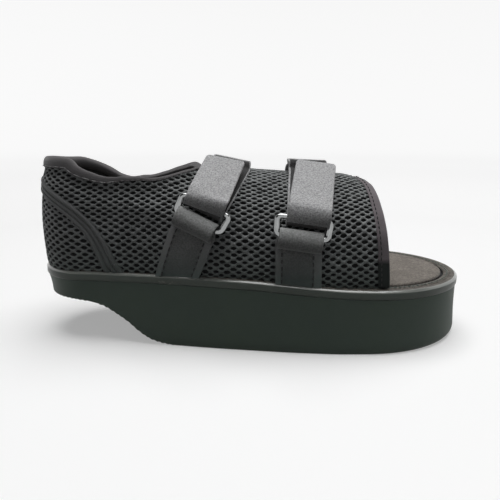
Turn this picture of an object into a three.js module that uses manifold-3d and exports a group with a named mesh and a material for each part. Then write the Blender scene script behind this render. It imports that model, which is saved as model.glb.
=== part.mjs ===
import * as THREE from 'three';
import Module from 'manifold-3d';

// Named sizes in millimetres. x runs from the back of the heel to the toe, z up from the floor
const LENGTH = 289;
const BALL_WIDTH = 107;
const HEEL_WIDTH = 69;
const TOE_REACH = 70;
const HEEL_RIM = 49.6;
const TOE_RIM = 42.4;
const HEEL_LIFT = 30.2;
const LAYER = 5.8;
const LAYER_PROUD = 0.7;
const LEDGE = 8.4;
const RECESS = 2.4;
const INSOLE_GROOVE = 1.3;
const INSOLE_PROUD = 1.0;
const GAP = 0.3;
const SEAT = 0.4;
const ROLL_GAP = 0.42;
const WALL = 3;
const ANKLE = 61.5;
const INSTEP = 66;
const FLAP_STEP = 6.9;
const FRONT_LEAN = 9;
const FRONT_X = 0.794 * LENGTH;
const FAN_X = 0.207 * LENGTH;
const WEBBING = 27;
const STRAP_THICK = 1.8;
const TAB_THICK = 1.6;
const RING_WIDE = 37;
const RING_HIGH = 15.5;
const RING_BAR = 4;
const SLOT_WIDE = 3;
const SLOT_DEEP = 1.6;

const HALF_BALL = BALL_WIDTH / 2;
const HEEL_R = HEEL_WIDTH / 2;

// Smooth curve through rows of [place, value]
function curve(rows) {
  const n = rows.length;
  const slope = [];
  for (let i = 0; i < n - 1; i++) {
    slope.push((rows[i + 1][1] - rows[i][1]) / (rows[i + 1][0] - rows[i][0]));
  }
  const m = rows.map((row, i) => {
    if (i === 0 || i === n - 1) return 0;
    const a = slope[i - 1];
    const b = slope[i];
    return a * b <= 0 ? 0 : (2 * a * b) / (a + b);
  });
  return (x) => {
    if (x <= rows[0][0]) return rows[0][1];
    if (x >= rows[n - 1][0]) return rows[n - 1][1];
    let i = 0;
    while (x > rows[i + 1][0]) i++;
    const h = rows[i + 1][0] - rows[i][0];
    const s = (x - rows[i][0]) / h;
    const a = (1 + 2 * s) * (1 - s) * (1 - s);
    const b = s * (1 - s) * (1 - s);
    const c = s * s * (3 - 2 * s);
    const d = s * s * (s - 1);
    return a * rows[i][1] + b * h * m[i] + c * rows[i + 1][1] + d * h * m[i + 1];
  };
}

// Half width of the sole. Columns: share of length, share of half the ball width
const sideShare = curve([
  [0.119, 0.639], [0.207, 0.694], [0.297, 0.759], [0.41, 0.852],
  [0.5, 0.912], [0.61, 0.974], [0.7, 1], [0.7586, 1],
]);
const TOE_X = LENGTH - TOE_REACH;
function sideWidth(x) {
  const base = sideShare(x / LENGTH) * HALF_BALL;
  return x < HEEL_R * 1.6 ? Math.max(base, HEEL_R) : base;
}

// Height of the top edge of the sole. Columns: share of length, share of the drop from heel to toe
const rimShare = curve([
  [0, 0], [0.2, 0.02], [0.28, 0.04], [0.383, 0.1], [0.493, 0.24], [0.64, 0.66],
  [0.717, 0.86], [0.79, 0.93], [0.88, 0.97], [1, 1],
]);
function rim(x) {
  return HEEL_RIM + (TOE_RIM - HEEL_RIM) * rimShare(x / LENGTH);
}

// Underside of the wedge. Columns: share of length, share of the heel lift
const liftShare = curve([
  [0, 1], [0.052, 1], [0.11, 0.965], [0.153, 0.854], [0.184, 0.689], [0.216, 0.47],
  [0.235, 0.3], [0.267, 0.1], [0.296, 0.025], [0.32, 0],
]);
function underside(x) {
  return HEEL_LIFT * liftShare(x / LENGTH);
}

// Half outline from the back of the heel to the tip of the toe
const SIDE_STATIONS = [
  0.145, 0.169, 0.184, 0.2, 0.216, 0.235, 0.25, 0.267, 0.296, 0.32, 0.36,
  0.41, 0.46, 0.51, 0.56, 0.61, 0.66, 0.71, 0.7586,
];
function halfOutline() {
  const points = [];
  for (let i = 0; i <= 9; i++) {
    const a = (i / 9) * Math.PI / 2;
    points.push([HEEL_R - HEEL_R * Math.cos(a), HEEL_R * Math.sin(a)]);
  }
  for (const share of SIDE_STATIONS) {
    points.push([share * LENGTH, sideWidth(share * LENGTH)]);
  }
  for (let i = 1; i <= 10; i++) {
    const a = (i / 10) * Math.PI / 2;
    points.push([TOE_X + TOE_REACH * Math.sin(a), HALF_BALL * Math.cos(a)]);
  }
  points[points.length - 1][1] = 0;
  return points;
}
const HALF = halfOutline();
const LAST = HALF.length - 1;

function loopPoints() {
  const loop = HALF.map(([x, y]) => [x, -y]);
  for (let i = LAST - 1; i > 0; i--) loop.push([HALF[i][0], HALF[i][1]]);
  return loop;
}
const LOOP = loopPoints();

// One closed ring of the outline, moved outwards by grow(x) and lifted to height(x)
function ring(grow, height) {
  const n = LOOP.length;
  return LOOP.map(([x, y], i) => {
    const a = LOOP[(i + n - 1) % n];
    const b = LOOP[(i + 1) % n];
    const tx = b[0] - a[0];
    const ty = b[1] - a[1];
    const len = Math.hypot(tx, ty);
    const g = typeof grow === 'function' ? grow(x) : grow;
    return [x + (g * ty) / len, y - (g * tx) / len, height(x)];
  });
}

// Closed solid through rings of equal count, closed by caps that run across the outline
function stack(rings) {
  const n = LOOP.length;
  const points = rings.flat();
  const faces = [];
  for (let k = 0; k < rings.length - 1; k++) {
    for (let i = 0; i < n; i++) {
      const j = (i + 1) % n;
      const a = k * n + i;
      const b = k * n + j;
      faces.push([a, b, b + n], [a, b + n, a + n]);
    }
  }
  const cap = (base, up) => {
    const add = (a, b, c) => faces.push(up ? [base + a, base + b, base + c] : [base + a, base + c, base + b]);
    add(0, 1, n - 1);
    for (let i = 1; i < LAST - 1; i++) {
      add(i, i + 1, n - i - 1);
      add(i, n - i - 1, n - i);
    }
    add(LAST - 1, LAST, LAST + 1);
  };
  cap(0, false);
  cap((rings.length - 1) * n, true);
  return { points, faces };
}

// Section of the upper over one side. Columns: share of half width, share of crown height
const SECTION = [
  [1, 0], [1.004, 0.16], [0.985, 0.32], [0.94, 0.46], [0.85, 0.6],
  [0.69, 0.745], [0.46, 0.88], [0.23, 0.965], [0, 1],
];
const ARCH = [...SECTION];
for (let i = SECTION.length - 2; i >= 0; i--) ARCH.push([-SECTION[i][0], SECTION[i][1]]);
const STEPS = SECTION.length - 1;

// Point of the section at t, where 0 is the foot, 1 the crown and 2 the other foot
function arch(t) {
  const f = Math.min(Math.max(t, 0), 2) * STEPS;
  const i = Math.min(Math.floor(f), ARCH.length - 2);
  const s = f - i;
  const at = (k) => {
    if (k < 0) return [2 * ARCH[0][0] - ARCH[1][0], -ARCH[1][1]];
    if (k >= ARCH.length) return [-(2 * ARCH[0][0] - ARCH[1][0]), -ARCH[1][1]];
    return ARCH[k];
  };
  const p = [at(i - 1), at(i), at(i + 1), at(i + 2)];
  return [0, 1].map((c) => {
    const [a, b, d, e] = p.map((row) => row[c]);
    return 0.5 * (2 * b + (d - a) * s + (2 * a - 5 * b + 4 * d - e) * s * s + (3 * b - a - 3 * d + e) * s * s * s);
  });
}

function solve(f, lo, hi) {
  const up = f(hi) > f(lo);
  for (let i = 0; i < 40; i++) {
    const mid = (lo + hi) / 2;
    if (f(mid) > 0 === up) hi = mid;
    else lo = mid;
  }
  return (lo + hi) / 2;
}
const tAtOut = (share) => solve((t) => arch(t)[0] - share, 0.2, 1.8);
const tAtUp = (share) => solve((t) => arch(t)[1] - share, 0, 1);

// How far the foot of the upper stands inside the sole. Columns: share of length, millimetres
const inset = curve([[0, 0.5], [0.06, 0.8], [0.2, 2], [0.34, 2.8], [0.6, 3.6], [0.8, 4.8]]);
function footWidth(x) {
  return sideWidth(x) - inset(x / LENGTH);
}

// Collar and flap edges in the straight part
// Columns: share of length, share of half ball width, share of ankle height above the sole
const NEAR_EDGE = [
  [0.207, 0.578, 0.975], [0.232, 0.574, 0.977], [0.257, 0.567, 0.977], [0.285, 0.531, 0.965],
  [0.313, 0.472, 0.985], [0.342, 0.394, 1.025], [0.371, 0.272, 1.055],
];
const FAR_EDGE = [
  [0.207, 0.58, 0.887], [0.237, 0.574, 0.9], [0.28, 0.537, 0.955], [0.319, 0.457, 1.02],
  [0.349, 0.365, 1.07],
];
// Crown of the near flap. Columns: share of length, share of instep height above the sole
const NEAR_CROWN = [
  [0.395, 1.03], [0.43, 0.997], [0.47, 0.985], [0.52, 0.977], [0.586, 0.98], [0.655, 0.99],
  [0.73, 0.995], [0.766, 0.973], [0.7966, 0.94],
];
function crownRows(edge, drop) {
  const rows = edge.map(([place, wide, high]) => {
    const share = (wide * HALF_BALL) / footWidth(place * LENGTH);
    return [place, (high * ANKLE) / arch(tAtOut(share))[1]];
  });
  for (const [place, high] of NEAR_CROWN) rows.push([place, high * INSTEP - drop]);
  return rows;
}
const nearCrown = curve(crownRows(NEAR_EDGE, 0));
const farCrown = curve(crownRows(FAR_EDGE, FLAP_STEP));
const nearReach = curve([
  ...NEAR_EDGE.map(([place, wide]) => [place, wide]),
  [0.386, 0.18], [0.4, 0.02], [0.414, -0.13], [0.435, -0.22], [0.7966, -0.22],
]);
const farReach = curve([
  ...FAR_EDGE.map(([place, wide]) => [place, wide]),
  [0.368, 0.22], [0.383, 0.02], [0.4, -0.17], [0.42, -0.26], [0.7966, -0.26],
]);

// Collar height round the heel. Columns: place from near side to far side, share of ankle height
const heelCollar = curve([
  [0, 0.975], [0.126, 0.975], [0.236, 0.99], [0.374, 1.03], [0.461, 1.078], [0.54, 1.145],
  [0.66, 1.155], [1, 1.14], [1.22, 1.115], [1.32, 1.11], [1.43, 1.075], [1.585, 1],
  [1.75, 0.91], [1.91, 0.88], [2, 0.887],
]);
const fanCrown = curve([[0, nearCrown(0.207)], [1, nearCrown(0.207) * 1.03], [2, farCrown(0.207)]]);

// Distance from the fan centre to the foot of the upper in one direction
function fanRadius(dx, dy) {
  return solve((r) => {
    const x = FAN_X + r * dx;
    const y = Math.abs(r * dy);
    const shy = inset(x / LENGTH);
    if (x < HEEL_R) return Math.hypot(x - HEEL_R, y) - (HEEL_R - shy);
    return y - footWidth(x);
  }, HEEL_R * 0.6, FAN_X + HEEL_R);
}

// Station u of the upper: 0 to 1 near side, 1 to 2 round the heel, 2 to 3 far side
function station(u) {
  if (u >= 1 && u <= 2) {
    const a = -Math.PI / 2 - Math.PI * (u - 1);
    const dx = Math.cos(a);
    const dy = Math.sin(a);
    const r = fanRadius(dx, dy);
    const x = FAN_X + r * dx;
    const foot = rim(x) + SEAT;
    const half = footWidth(FAN_X);
    const high = fanCrown(2 * (u - 1));
    const edge = heelCollar(2 * (u - 1)) * ANKLE;
    return { x, y: r * dy, dx: -dx, dy: -dy, foot, half, high, end: tAtUp(edge / high), lean: 0 };
  }
  const near = u < 1;
  const share = near ? 1 - u : u - 2;
  const x = FAN_X + (FRONT_X - FAN_X) * share;
  const half = footWidth(x);
  const place = x / LENGTH;
  const high = near ? nearCrown(place) : farCrown(place);
  const reach = ((near ? nearReach(place) : farReach(place)) * HALF_BALL) / half;
  const lean = FRONT_LEAN * Math.max(0, (place - 0.4) / (FRONT_X / LENGTH - 0.4));
  const dy = near ? 1 : -1;
  return { x, y: -dy * half, dx: 0, dy, foot: rim(x) + SEAT, half, high, end: tAtOut(reach), lean };
}

const cache = new Map();
function stationAt(u) {
  const key = u.toFixed(6);
  if (!cache.has(key)) cache.set(key, station(u));
  return cache.get(key);
}

// Outer surface of the upper
function skin(u, t) {
  const s = stationAt(u);
  const [out, up] = arch(t);
  const inward = s.half * (1 - out);
  const lean = s.lean * (0.5 * up + 0.5 / (1 + 25 * out * out));
  return new THREE.Vector3(s.x + s.dx * inward - lean, s.y + s.dy * inward, s.foot + s.high * up);
}

function tangents(u, t) {
  const du = 0.004;
  const dt = 0.01;
  const u0 = Math.max(0, u - du);
  const u1 = Math.min(3, u + du);
  const t0 = Math.max(0, t - dt);
  const t1 = t + dt;
  const along = skin(u1, t).sub(skin(u0, t)).divideScalar(u1 - u0);
  const rise = skin(u, t1).sub(skin(u, t0)).divideScalar(t1 - t0);
  const normal = rise.clone().cross(along).normalize();
  return { along, rise, normal };
}

function lifted(u, t, off) {
  return skin(u, t).addScaledVector(tangents(u, t).normal, off);
}

// Move on the surface by a vector that lies in it
function slide(u, t, move) {
  const { along, rise } = tangents(u, t);
  const aa = along.dot(along);
  const ab = along.dot(rise);
  const bb = rise.dot(rise);
  const ma = move.dot(along);
  const mb = move.dot(rise);
  const det = aa * bb - ab * ab;
  return [u + (ma * bb - mb * ab) / det, t + (mb * aa - ma * ab) / det];
}

// Closed tube from profile loops. Each loop is a list of vectors
function tube(loops, closed = false) {
  const n = loops[0].length;
  const points = loops.flat().map((v) => [v.x, v.y, v.z]);
  const faces = [];
  const rounds = closed ? loops.length : loops.length - 1;
  for (let k = 0; k < rounds; k++) {
    for (let i = 0; i < n; i++) {
      const j = (i + 1) % n;
      const a = k * n;
      const b = ((k + 1) % loops.length) * n;
      faces.push([a + i, a + j, b + j], [a + i, b + j, b + i]);
    }
  }
  return { points, faces, open: !closed, n, count: loops.length };
}

// Flat end caps for a tube, given as triangles of profile indices
function capped(body, cap) {
  const last = (body.count - 1) * body.n;
  for (const [a, b, c] of cap) {
    body.faces.push([a, c, b], [last + a, last + b, last + c]);
  }
  return body;
}

function volume(body) {
  let v = 0;
  for (const [a, b, c] of body.faces) {
    const [p, q, r] = [body.points[a], body.points[b], body.points[c]];
    v += p[0] * (q[1] * r[2] - q[2] * r[1]) - p[1] * (q[0] * r[2] - q[2] * r[0]) + p[2] * (q[0] * r[1] - q[1] * r[0]);
  }
  return v / 6;
}

const group = new THREE.Group();
function geometryOf(body) {
  const turn = volume(body) < 0;
  const flat = new Float32Array(body.points.length * 3);
  body.points.forEach(([x, y, z], i) => flat.set([x - LENGTH / 2, y, z], i * 3));
  const index = body.faces.flatMap(([a, b, c]) => (turn ? [a, c, b] : [a, b, c]));
  const geometry = new THREE.BufferGeometry();
  geometry.setAttribute('position', new THREE.BufferAttribute(flat, 3));
  geometry.setIndex(index);
  return geometry;
}
function add(name, geometry, color, roughness, metalness = 0) {
  geometry.computeVertexNormals();
  const mesh = new THREE.Mesh(geometry, new THREE.MeshStandardMaterial({ color, roughness, metalness }));
  mesh.name = name;
  group.add(mesh);
}

// Outsole: the wedge with its cut away heel and cross slots
const layerFoot = (x) => rim(x) - LAYER;
const slope = (x) => -1.7 + 3.1 * Math.min(1, x / LENGTH);
const round = (x) => 0.6 + 1.4 * Math.min(1, x / (0.3 * LENGTH)) + 2.2 * Math.max(0, (x / LENGTH - 0.7) / 0.3);
const wedge = geometryOf(stack([
  ring((x) => slope(x) - round(x), underside),
  ring((x) => slope(x) - 0.3 * round(x), (x) => underside(x) + 0.3 * round(x)),
  ring(slope, (x) => underside(x) + round(x)),
  ring((x) => 0.5 * slope(x), (x) => (underside(x) + layerFoot(x)) / 2),
  ring(0, (x) => layerFoot(x) - GAP),
]));
const wasm = await Module();
wasm.setup();
const { Manifold, Mesh: SolidMesh } = wasm;
function toSolid(geometry) {
  return new Manifold(new SolidMesh({
    numProp: 3,
    vertProperties: new Float32Array(geometry.attributes.position.array),
    triVerts: new Uint32Array(geometry.index.array),
  }));
}
function fromSolid(solid) {
  const mesh = solid.getMesh();
  const geometry = new THREE.BufferGeometry();
  geometry.setAttribute('position', new THREE.BufferAttribute(new Float32Array(mesh.vertProperties), 3));
  geometry.setIndex(Array.from(mesh.triVerts));
  return geometry;
}
let sole = toSolid(wedge);
// Cross slots. Each row: share of length
for (const place of [0.4, 0.46, 0.56, 0.62, 0.68, 0.74, 0.8, 0.86]) {
  const x = place * LENGTH;
  const toe = Math.sqrt(Math.max(0, 1 - Math.pow((x - TOE_X) / TOE_REACH, 2)));
  const half = (x > TOE_X ? HALF_BALL * toe : sideWidth(x)) - 14;
  const slot = Manifold.cube([SLOT_WIDE, 2 * half, 2 * SLOT_DEEP], true);
  sole = sole.subtract(slot.translate([x - LENGTH / 2, 0, 0]));
}
add('outsole', fromSolid(sole), 0x2d322e, 0.8);

// Top layer of the sole with its ledge and recess
add('sole_layer', geometryOf(stack([
  ring(-0.4, layerFoot),
  ring(LAYER_PROUD, (x) => layerFoot(x) + 0.8),
  ring(LAYER_PROUD, (x) => rim(x) - 1.4),
  ring(LAYER_PROUD - 0.5, (x) => rim(x) - 0.3),
  ring(-0.8, rim),
  ring(-LEDGE, rim),
  ring(-LEDGE - 0.2, (x) => rim(x) - RECESS),
])), 0x3f4340, 0.75);

// Insole lying in the recess
const insoleEdge = -LEDGE - INSOLE_GROOVE;
add('insole', geometryOf(stack([
  ring(insoleEdge - 0.6, (x) => rim(x) - RECESS + GAP),
  ring(insoleEdge, (x) => rim(x) - RECESS + GAP + 0.6),
  ring(insoleEdge - 0.2, (x) => rim(x) + INSOLE_PROUD - 0.7),
  ring(insoleEdge - 1.2, (x) => rim(x) + INSOLE_PROUD),
])), 0x766e68, 0.9);

// Stations of the upper, closer together round the heel and at the throat
const U_ROWS = [];
const THROAT_ROWS = [
  0.585, 0.606, 0.627, 0.648, 0.669, 0.69, 0.711, 0.732, 0.755, 0.78, 0.81, 0.85, 0.9, 0.95,
];
for (let i = 0; i <= 7; i++) U_ROWS.push(0.08 * i);
U_ROWS.push(...THROAT_ROWS);
for (let i = 0; i <= 18; i++) U_ROWS.push(1 + i / 18);
U_ROWS.push(...THROAT_ROWS.map((u) => 3 - u).reverse());
for (let i = 7; i >= 0; i--) U_ROWS.push(3 - 0.08 * i);
const T_COUNT = 13;

function upper() {
  const outer = [];
  const inner = [];
  for (const u of U_ROWS) {
    const end = stationAt(u).end;
    for (let k = 0; k <= T_COUNT; k++) {
      const t = (end * k) / T_COUNT;
      const p = skin(u, t);
      const { normal } = tangents(u, t);
      const q = p.clone().addScaledVector(normal, -WALL);
      outer.push([p.x, p.y, p.z]);
      inner.push([q.x, q.y, k === 0 ? p.z : q.z]);
    }
  }
  const w = T_COUNT + 1;
  const n = U_ROWS.length;
  const shift = outer.length;
  const points = [...outer, ...inner];
  const faces = [];
  for (let i = 0; i < n - 1; i++) {
    for (let k = 0; k < T_COUNT; k++) {
      const a = i * w + k;
      const b = a + w;
      faces.push([a, a + 1, b + 1], [a, b + 1, b]);
      faces.push([a + shift, b + 1 + shift, a + 1 + shift], [a + shift, b + shift, b + 1 + shift]);
    }
    const a = i * w;
    const b = a + w;
    faces.push([a, b, b + shift], [a, b + shift, a + shift]);
    const c = a + T_COUNT;
    const d = b + T_COUNT;
    faces.push([c, d + shift, d], [c, c + shift, d + shift]);
  }
  for (let k = 0; k < T_COUNT; k++) {
    const e = (n - 1) * w + k;
    faces.push([k, k + 1 + shift, k + 1], [k, k + shift, k + 1 + shift]);
    faces.push([e, e + 1, e + 1 + shift], [e, e + 1 + shift, e + shift]);
  }
  return { points, faces };
}
add('upper', geometryOf(upper()), 0x3c3f3f, 0.9);

// Binding section round an edge. Columns: distance in from the edge, height above the outer face
const ROLL = [
  [6.8, ROLL_GAP], [6.8, 1.1], [4.6, 1.8], [1.6, 2], [-1.1, 1], [-2, -WALL / 2],
  [-1.1, -WALL - 1.7], [1.6, -WALL - 2.4], [6.2, -WALL - 1.7], [6.2, -WALL - 2 * ROLL_GAP],
  [-0.5, -WALL - 2 * ROLL_GAP], [-0.5, ROLL_GAP],
];
const ROLL_CAP = [
  [0, 1, 2], [0, 2, 3], [0, 3, 11], [11, 3, 4], [11, 4, 5], [11, 5, 10], [10, 5, 6],
  [10, 6, 7], [10, 7, 8], [10, 8, 9],
];

// Profile loop of a binding at one place on an edge
function bindingLoop(u, t, beyond, wide, thick) {
  const { normal } = tangents(u, t);
  return ROLL.map(([inwards, high]) => {
    const b = inwards > 0 ? inwards * wide : inwards * Math.max(thick, 0.8);
    const rest = high > 0 ? high - ROLL_GAP : high + WALL + 2 * ROLL_GAP;
    const off = high === -WALL / 2 ? high : high - rest * (1 - thick);
    if (b < 0) return skin(u, t).addScaledVector(beyond, -b).addScaledVector(normal, off);
    const [su, st] = slide(u, t, beyond.clone().multiplyScalar(-b));
    return lifted(Math.min(3, Math.max(0, su)), st, off);
  });
}

// Direction that points out over the top edge at station u
function overTop(u) {
  const d = 0.006;
  const u0 = Math.max(0, u - d);
  const u1 = Math.min(3, u + d);
  const run = skin(u1, stationAt(u1).end).sub(skin(u0, stationAt(u0).end));
  const { normal, rise } = tangents(u, stationAt(u).end);
  const out = run.cross(normal).normalize();
  return out.dot(rise) < 0 ? out.negate() : out;
}
const rollSize = curve([[0, 0.5], [1.02, 0.5], [1.2, 0.8], [1.34, 1], [1.66, 1], [1.8, 0.8], [1.98, 0.5], [3, 0.5]]);
const collarLoops = U_ROWS.map((u) => {
  const size = rollSize(u);
  return bindingLoop(u, stationAt(u).end, overTop(u), size, size * 1.4 - 0.4);
});
add('collar_binding', geometryOf(capped(tube(collarLoops), ROLL_CAP)), 0x6a6666, 0.85);

// Toe opening bindings run up the front edge and stop under the flap binding
function toeBinding(u) {
  const end = stationAt(u).end;
  const stop = slide(u, end, overTop(u).multiplyScalar(-6.6))[1];
  const rows = [0.012];
  for (let k = 1; k <= T_COUNT; k++) if ((end * k) / T_COUNT < stop - 0.02) rows.push((end * k) / T_COUNT);
  rows.push(stop);
  const loops = [];
  for (const t of rows) {
    const { along, normal, rise } = tangents(u, t);
    const out = rise.clone().cross(normal).normalize();
    if (out.dot(along) * (u < 1.5 ? -1 : 1) < 0) out.negate();
    loops.push(bindingLoop(u, t, out, 0.85, 0.3));
  }
  return capped(tube(loops), ROLL_CAP);
}
add('toe_binding_near', geometryOf(toeBinding(0)), 0x6a6666, 0.85);
add('toe_binding_far', geometryOf(toeBinding(3)), 0x6a6666, 0.85);

// Ridged tape round the heel counter
// Columns: place round the heel from the side, share of ankle height above the sole
const TAPE_FROM = 0.12;
const TAPE_PATH = curve([
  [TAPE_FROM, 0.045], [0.2, 0.2], [0.29, 0.37], [0.39, 0.52], [0.51, 0.66],
  [0.66, 0.775], [0.82, 0.86], [1, 0.91],
]);
const TAPE = [
  [-4, 0.45], [-4, 0.9], [-2.4, 1.6], [-0.8, 0.9], [0.8, 0.9], [2.4, 1.6], [4, 0.9], [4, 0.45], [0, 0.45],
];
const TAPE_CAP = [[0, 1, 2], [0, 2, 8], [8, 2, 3], [8, 3, 4], [8, 4, 5], [8, 5, 7], [7, 5, 6]];
function tapePoint(place) {
  const side = place <= 1 ? place : 2 - place;
  const u = 1 + place / 2;
  const s = stationAt(u);
  return [u, tAtUp((TAPE_PATH(side) * ANKLE) / s.high)];
}
function counterTape() {
  const loops = [];
  for (let i = 0; i <= 40; i++) {
    const place = TAPE_FROM + (2 - 2 * TAPE_FROM) * (i / 40);
    const [u, t] = tapePoint(place);
    const [ua, ta] = tapePoint(Math.max(TAPE_FROM, place - 0.02));
    const [ub, tb] = tapePoint(Math.min(2 - TAPE_FROM, place + 0.02));
    const run = skin(ub, tb).sub(skin(ua, ta));
    const { normal } = tangents(u, t);
    const across = run.cross(normal).normalize();
    loops.push(TAPE.map(([b, high]) => {
      const [su, st] = slide(u, t, across.clone().multiplyScalar(b));
      return lifted(su, st, high);
    }));
  }
  return capped(tube(loops), TAPE_CAP);
}
add('counter_tape', geometryOf(counterTape()), 0x4a4c4c, 0.85);

// Places of the two fastenings
// Shares of length and of ankle height, the turn in degrees, the lift over the crown in millimetres
const FASTENINGS = [
  { name: 'rear', ringX: 0.3925, ringUp: 0.665, turn: 21, tabX: 0.334, crownX: 0.455, endX: 0.443, farX: 0.4, lift: 1.7 },
  { name: 'front', ringX: 0.6085, ringUp: 0.59, turn: 6, tabX: 0.5985, crownX: 0.646, endX: 0.662, farX: 0.61, lift: 3 },
];
const uNear = (x) => (FRONT_X - x) / (FRONT_X - FAN_X);
const uFar = (x) => 2 + (x - FAN_X) / (FRONT_X - FAN_X);

// Directions on the near side: along the shoe, up the section and out of it, turned in the surface
function frameAt(x, t, turn, near = true) {
  const u = near ? uNear(x) : uFar(x);
  const { along, rise, normal } = tangents(u, t);
  const wide = along.clone().multiplyScalar(near ? -1 : 1).normalize();
  const up = normal.clone().cross(wide).multiplyScalar(near ? 1 : -1).normalize();
  if (up.dot(rise) < 0) up.negate();
  const a = THREE.MathUtils.degToRad(turn);
  const w = wide.clone().multiplyScalar(Math.cos(a)).addScaledVector(up, -Math.sin(a));
  const v = up.clone().multiplyScalar(Math.cos(a)).addScaledVector(wide, Math.sin(a));
  return { p: skin(u, t), w, v, n: normal };
}

// Flat ribbon through stations with a centre and a width direction
function ribbon(stations, wide, thick, ends = 0) {
  const loops = stations.map((s, i) => {
    const a = stations[Math.max(0, i - 1)].c;
    const b = stations[Math.min(stations.length - 1, i + 1)].c;
    const run = b.clone().sub(a).normalize();
    const n = run.clone().cross(s.w).normalize();
    const half = wide / 2 - (i === stations.length - 1 ? ends : 0);
    return [[1, 1], [-1, 1], [-1, -1], [1, -1]].map(([x, y]) => (
      s.c.clone().addScaledVector(s.w, x * half).addScaledVector(n, (y * thick) / 2)
    ));
  });
  return capped(tube(loops), [[0, 1, 2], [0, 2, 3]]);
}

// Half turn of a ribbon round a bar, from the inner side to the outer side
function fold(centre, f, radius, under) {
  const out = [];
  for (let i = 0; i <= 10; i++) {
    const a = Math.PI * (i / 10);
    const c = centre.clone()
      .addScaledVector(f.n, -radius * Math.cos(a))
      .addScaledVector(f.v, (under ? -1 : 1) * radius * Math.sin(a));
    out.push({ c, w: f.w });
  }
  return out;
}

// Place on the near section level with a point
function tOf(point) {
  const s = stationAt(uNear(point.x));
  return tAtUp((point.z - s.foot) / s.high);
}

function mix(a, b, s) {
  return a + (b - a) * s;
}

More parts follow.
